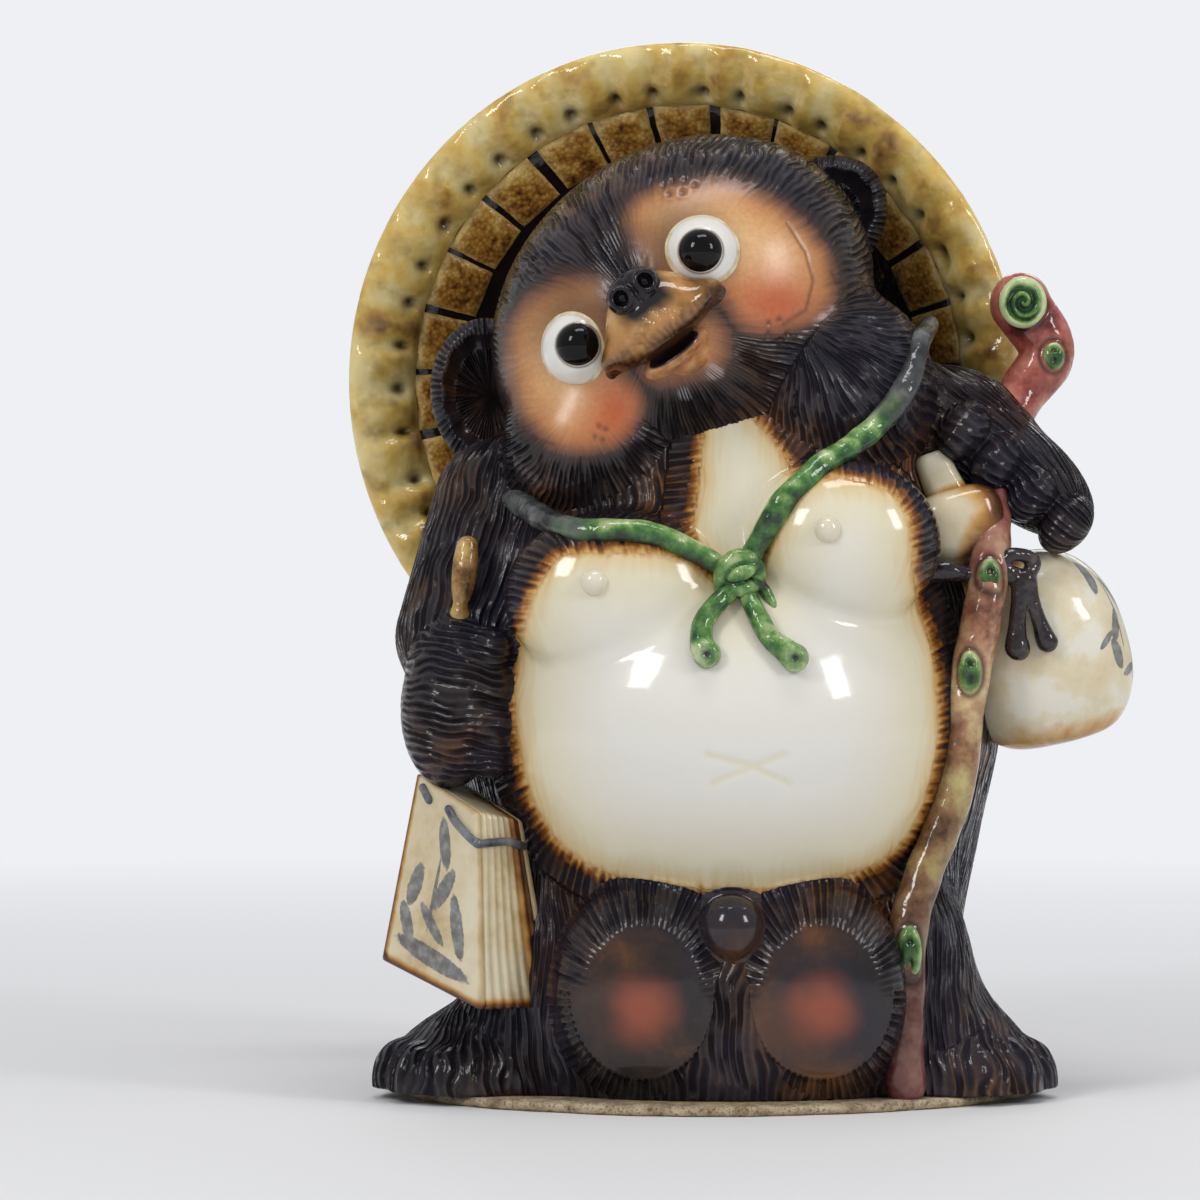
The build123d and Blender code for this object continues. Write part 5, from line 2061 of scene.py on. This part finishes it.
cord_glaze, _, _ = pooled_glaze(
    "cord_glaze",
    [(0.35, (0.014, 0.010, 0.012)), (0.55, (0.035, 0.024, 0.026)), (0.75, (0.11, 0.08, 0.075))],
    0.008, 0.08, 0.4,
)
flask_cords = [
    [(82, -63, 203, 4.3), (90, -63.5, 203.5, 3.9), (99, -61, 202, 3.0), (109, -60.5, 203.5, 3.6),
     (117, -60, 201, 3.8)],
    [(108, -61, 204, 2.6), (114, -61.5, 210, 3.0), (122, -58, 207, 3.0), (118, -60.5, 200, 3.2)],
    [(118, -61, 200, 4.4), (116, -62, 190, 3.2), (115, -62, 179, 4.0), (115.5, -62, 174, 4.6)],
    [(119, -60.5, 199, 4.2), (122, -60.5, 190, 3.0), (126, -59.5, 180, 3.6),
     (127.5, -59, 176.5, 4.0)],
]


def pinched(points, lines):
    """Thumbed unevenness."""
    return 0.35 * wander(points, 7), {}


flask_tie = cast_strands("flask_cord_tie", flask_cords, 0.6, pinched, blend=1.2)
hand_in(flask_tie, cord_glaze, "cord_glaze", "flask_cord")


# The chin cord: two flattened strands from behind the jowls to a knot on the chest, and two tassels.
# Copper-green glaze that turns grey and black where the fur's glaze ran over it.
cord_right = [
    (-91, -10, 246, 4.6), (-77, -46, 231, 5.0), (-55, -91, 219, 5.2), (-27, -98, 218, 4.8),
    (-8, -96.5, 210, 4.2), (5, -95, 203, 3.6),
]
cord_left = [
    (84, -32, 300, 4.0), (78, -54, 290, 4.6), (72, -67, 273, 5.0), (59, -73, 257, 5.0),
    (39, -90, 243, 5.0), (25, -98, 230, 4.8), (14, -94.5, 212, 4.6), (10, -95, 204, 3.8),
]
# Its tone mark carries painted highlights and painted shade on the cords, the knot and the tassels.
copper_glaze, shader, copper_tone = pooled_glaze(
    "copper_glaze",
    [(0.12, (0.012, 0.014, 0.016)), (0.30, (0.022, 0.05, 0.022)), (0.46, (0.045, 0.14, 0.035)),
     (0.60, (0.12, 0.26, 0.065)), (0.76, (0.34, 0.46, 0.19)), (0.95, (0.58, 0.63, 0.40))],
    0.007, 0.09, 0.35, "tone", 0.4,
)
grey = ramp(
    cloud(object_place(copper_glaze), 90.0, 3),
    [(0.35, (0.022, 0.022, 0.026)), (0.55, (0.07, 0.075, 0.075)), (0.7, (0.17, 0.17, 0.15))],
)
tone = blended(read(copper_glaze, "smoke"), copper_tone, grey)
tone = blended(read(copper_glaze, "dimple"), tone, (0.012, 0.016, 0.04, 1))
plug(tone, shader.inputs["Base Color"])


def cord_marks(smoked_to):
    """Smoky up to a share of the cord, with a painted highlight along its top and painted shade under
    it.
    """

    def marks(points, lines):
        _, run = lines[0](points)
        smoke = 1 - ease(run + 0.04 * wander(points, 9), smoked_to - 0.06, smoked_to + 0.08)
        slope, _ = gradient(lambda spots: lines[0](spots)[0], points)
        # Painted highlight and shade: paler where the strand faces up, darker where it faces down.
        tone = 0.5 * slope[:, 2] + 0.25 * wander(points, 5)
        flatten = 0.35 * wander(points, 9) + 0.25 * np.abs(slope[:, 2])
        return flatten, {"smoke": smoke, "tone": tone, "dimple": 0 * tone}

    return marks


right = cast_strands("chin_cord_a", [cord_right], 0.75, cord_marks(0.62))
hand_in(right, copper_glaze, "green_glaze", "chin_cord_right")
left = cast_strands("chin_cord_b", [cord_left], 0.75, cord_marks(0.42))
hand_in(left, copper_glaze, "green_glaze", "chin_cord_left")

knot = [
    [(1.5, -98, 197, 3.4), (2, -101.5, 204, 3.6), (7, -103, 208.5, 3.4), (13.5, -101, 206, 3.4),
     (15, -98, 199, 3.2)],
    [(3, -99, 201, 3.4), (8, -104.5, 202.5, 3.2), (14, -101, 206, 3.0)],
    [(2, -98.5, 199, 3.0), (8.5, -102, 196.8, 3.2), (15, -98, 198.5, 2.8)],
    [(15, -97.5, 200, 2.6), (19, -97.5, 193, 2.2), (22, -98.5, 186, 1.4)],
]


def knot_marks(points, lines):
    """A painted highlight on the wraps that stand furthest forward, and painted shade in the pressed
    seams between the wraps.
    """
    values = np.sort([line(points)[0] for line in lines], axis=0)
    seam = hump(values[1] - values[0], 0.9)
    # Painted highlight towards the front and painted shade in the seams.
    tone = 0.35 * ease(-96 - points[:, 1], 2, 8) - 0.7 * seam
    return 0.5 * seam, {"smoke": 0 * tone, "tone": tone, "dimple": 0 * tone}


bow = cast_strands("chin_knot", knot, 0.55, knot_marks, blend=0.6)
hand_in(bow, copper_glaze, "green_glaze", "chin_bow")

tassels = {
    "right": [(6.5, -99, 197, 3.2), (0, -104, 192, 3.8), (-6, -107.5, 184, 4.0),
              (-6.5, -111, 176, 4.6), (-4.8, -112.5, 172.5, 5.4)],
    "left": [(10, -99, 196, 3.2), (14, -105, 187.5, 3.8), (19, -109, 178.5, 4.0),
             (25, -111, 173.5, 4.6), (28, -111.5, 171, 5.4)],
}
for side, route in tassels.items():
    end = np.array(route[-1][:3], float)

    def tassel_marks(points, lines, end=end):
        _, run = lines[0](points)
        off = np.linalg.norm((points - end)[:, [0, 2]], axis=1)
        front = ease(end[1] + 1 - points[:, 1], 0, 2)
        dimple = hump(off, 1.9) * front
        tone = 0.55 * ease(run, 0.1, 1.0) - 0.1 + 0.25 * wander(points, 6)
        # Painted shade: darker where the surface turns away from the front.
        slope, _ = gradient(lambda spots: lines[0](spots)[0], points)
        tone = tone - 0.5 * (1 - ease(-slope[:, 1], -0.1, 0.5))
        return 2.2 * dimple, {"smoke": 0 * tone, "tone": tone, "dimple": np.clip(1.3 * dimple, 0, 1)}

    piece = cast_strands(f"tassel_{side}_end", [route], 0.55, tassel_marks)
    hand_in(piece, copper_glaze, "green_glaze", f"tassel_{side}")
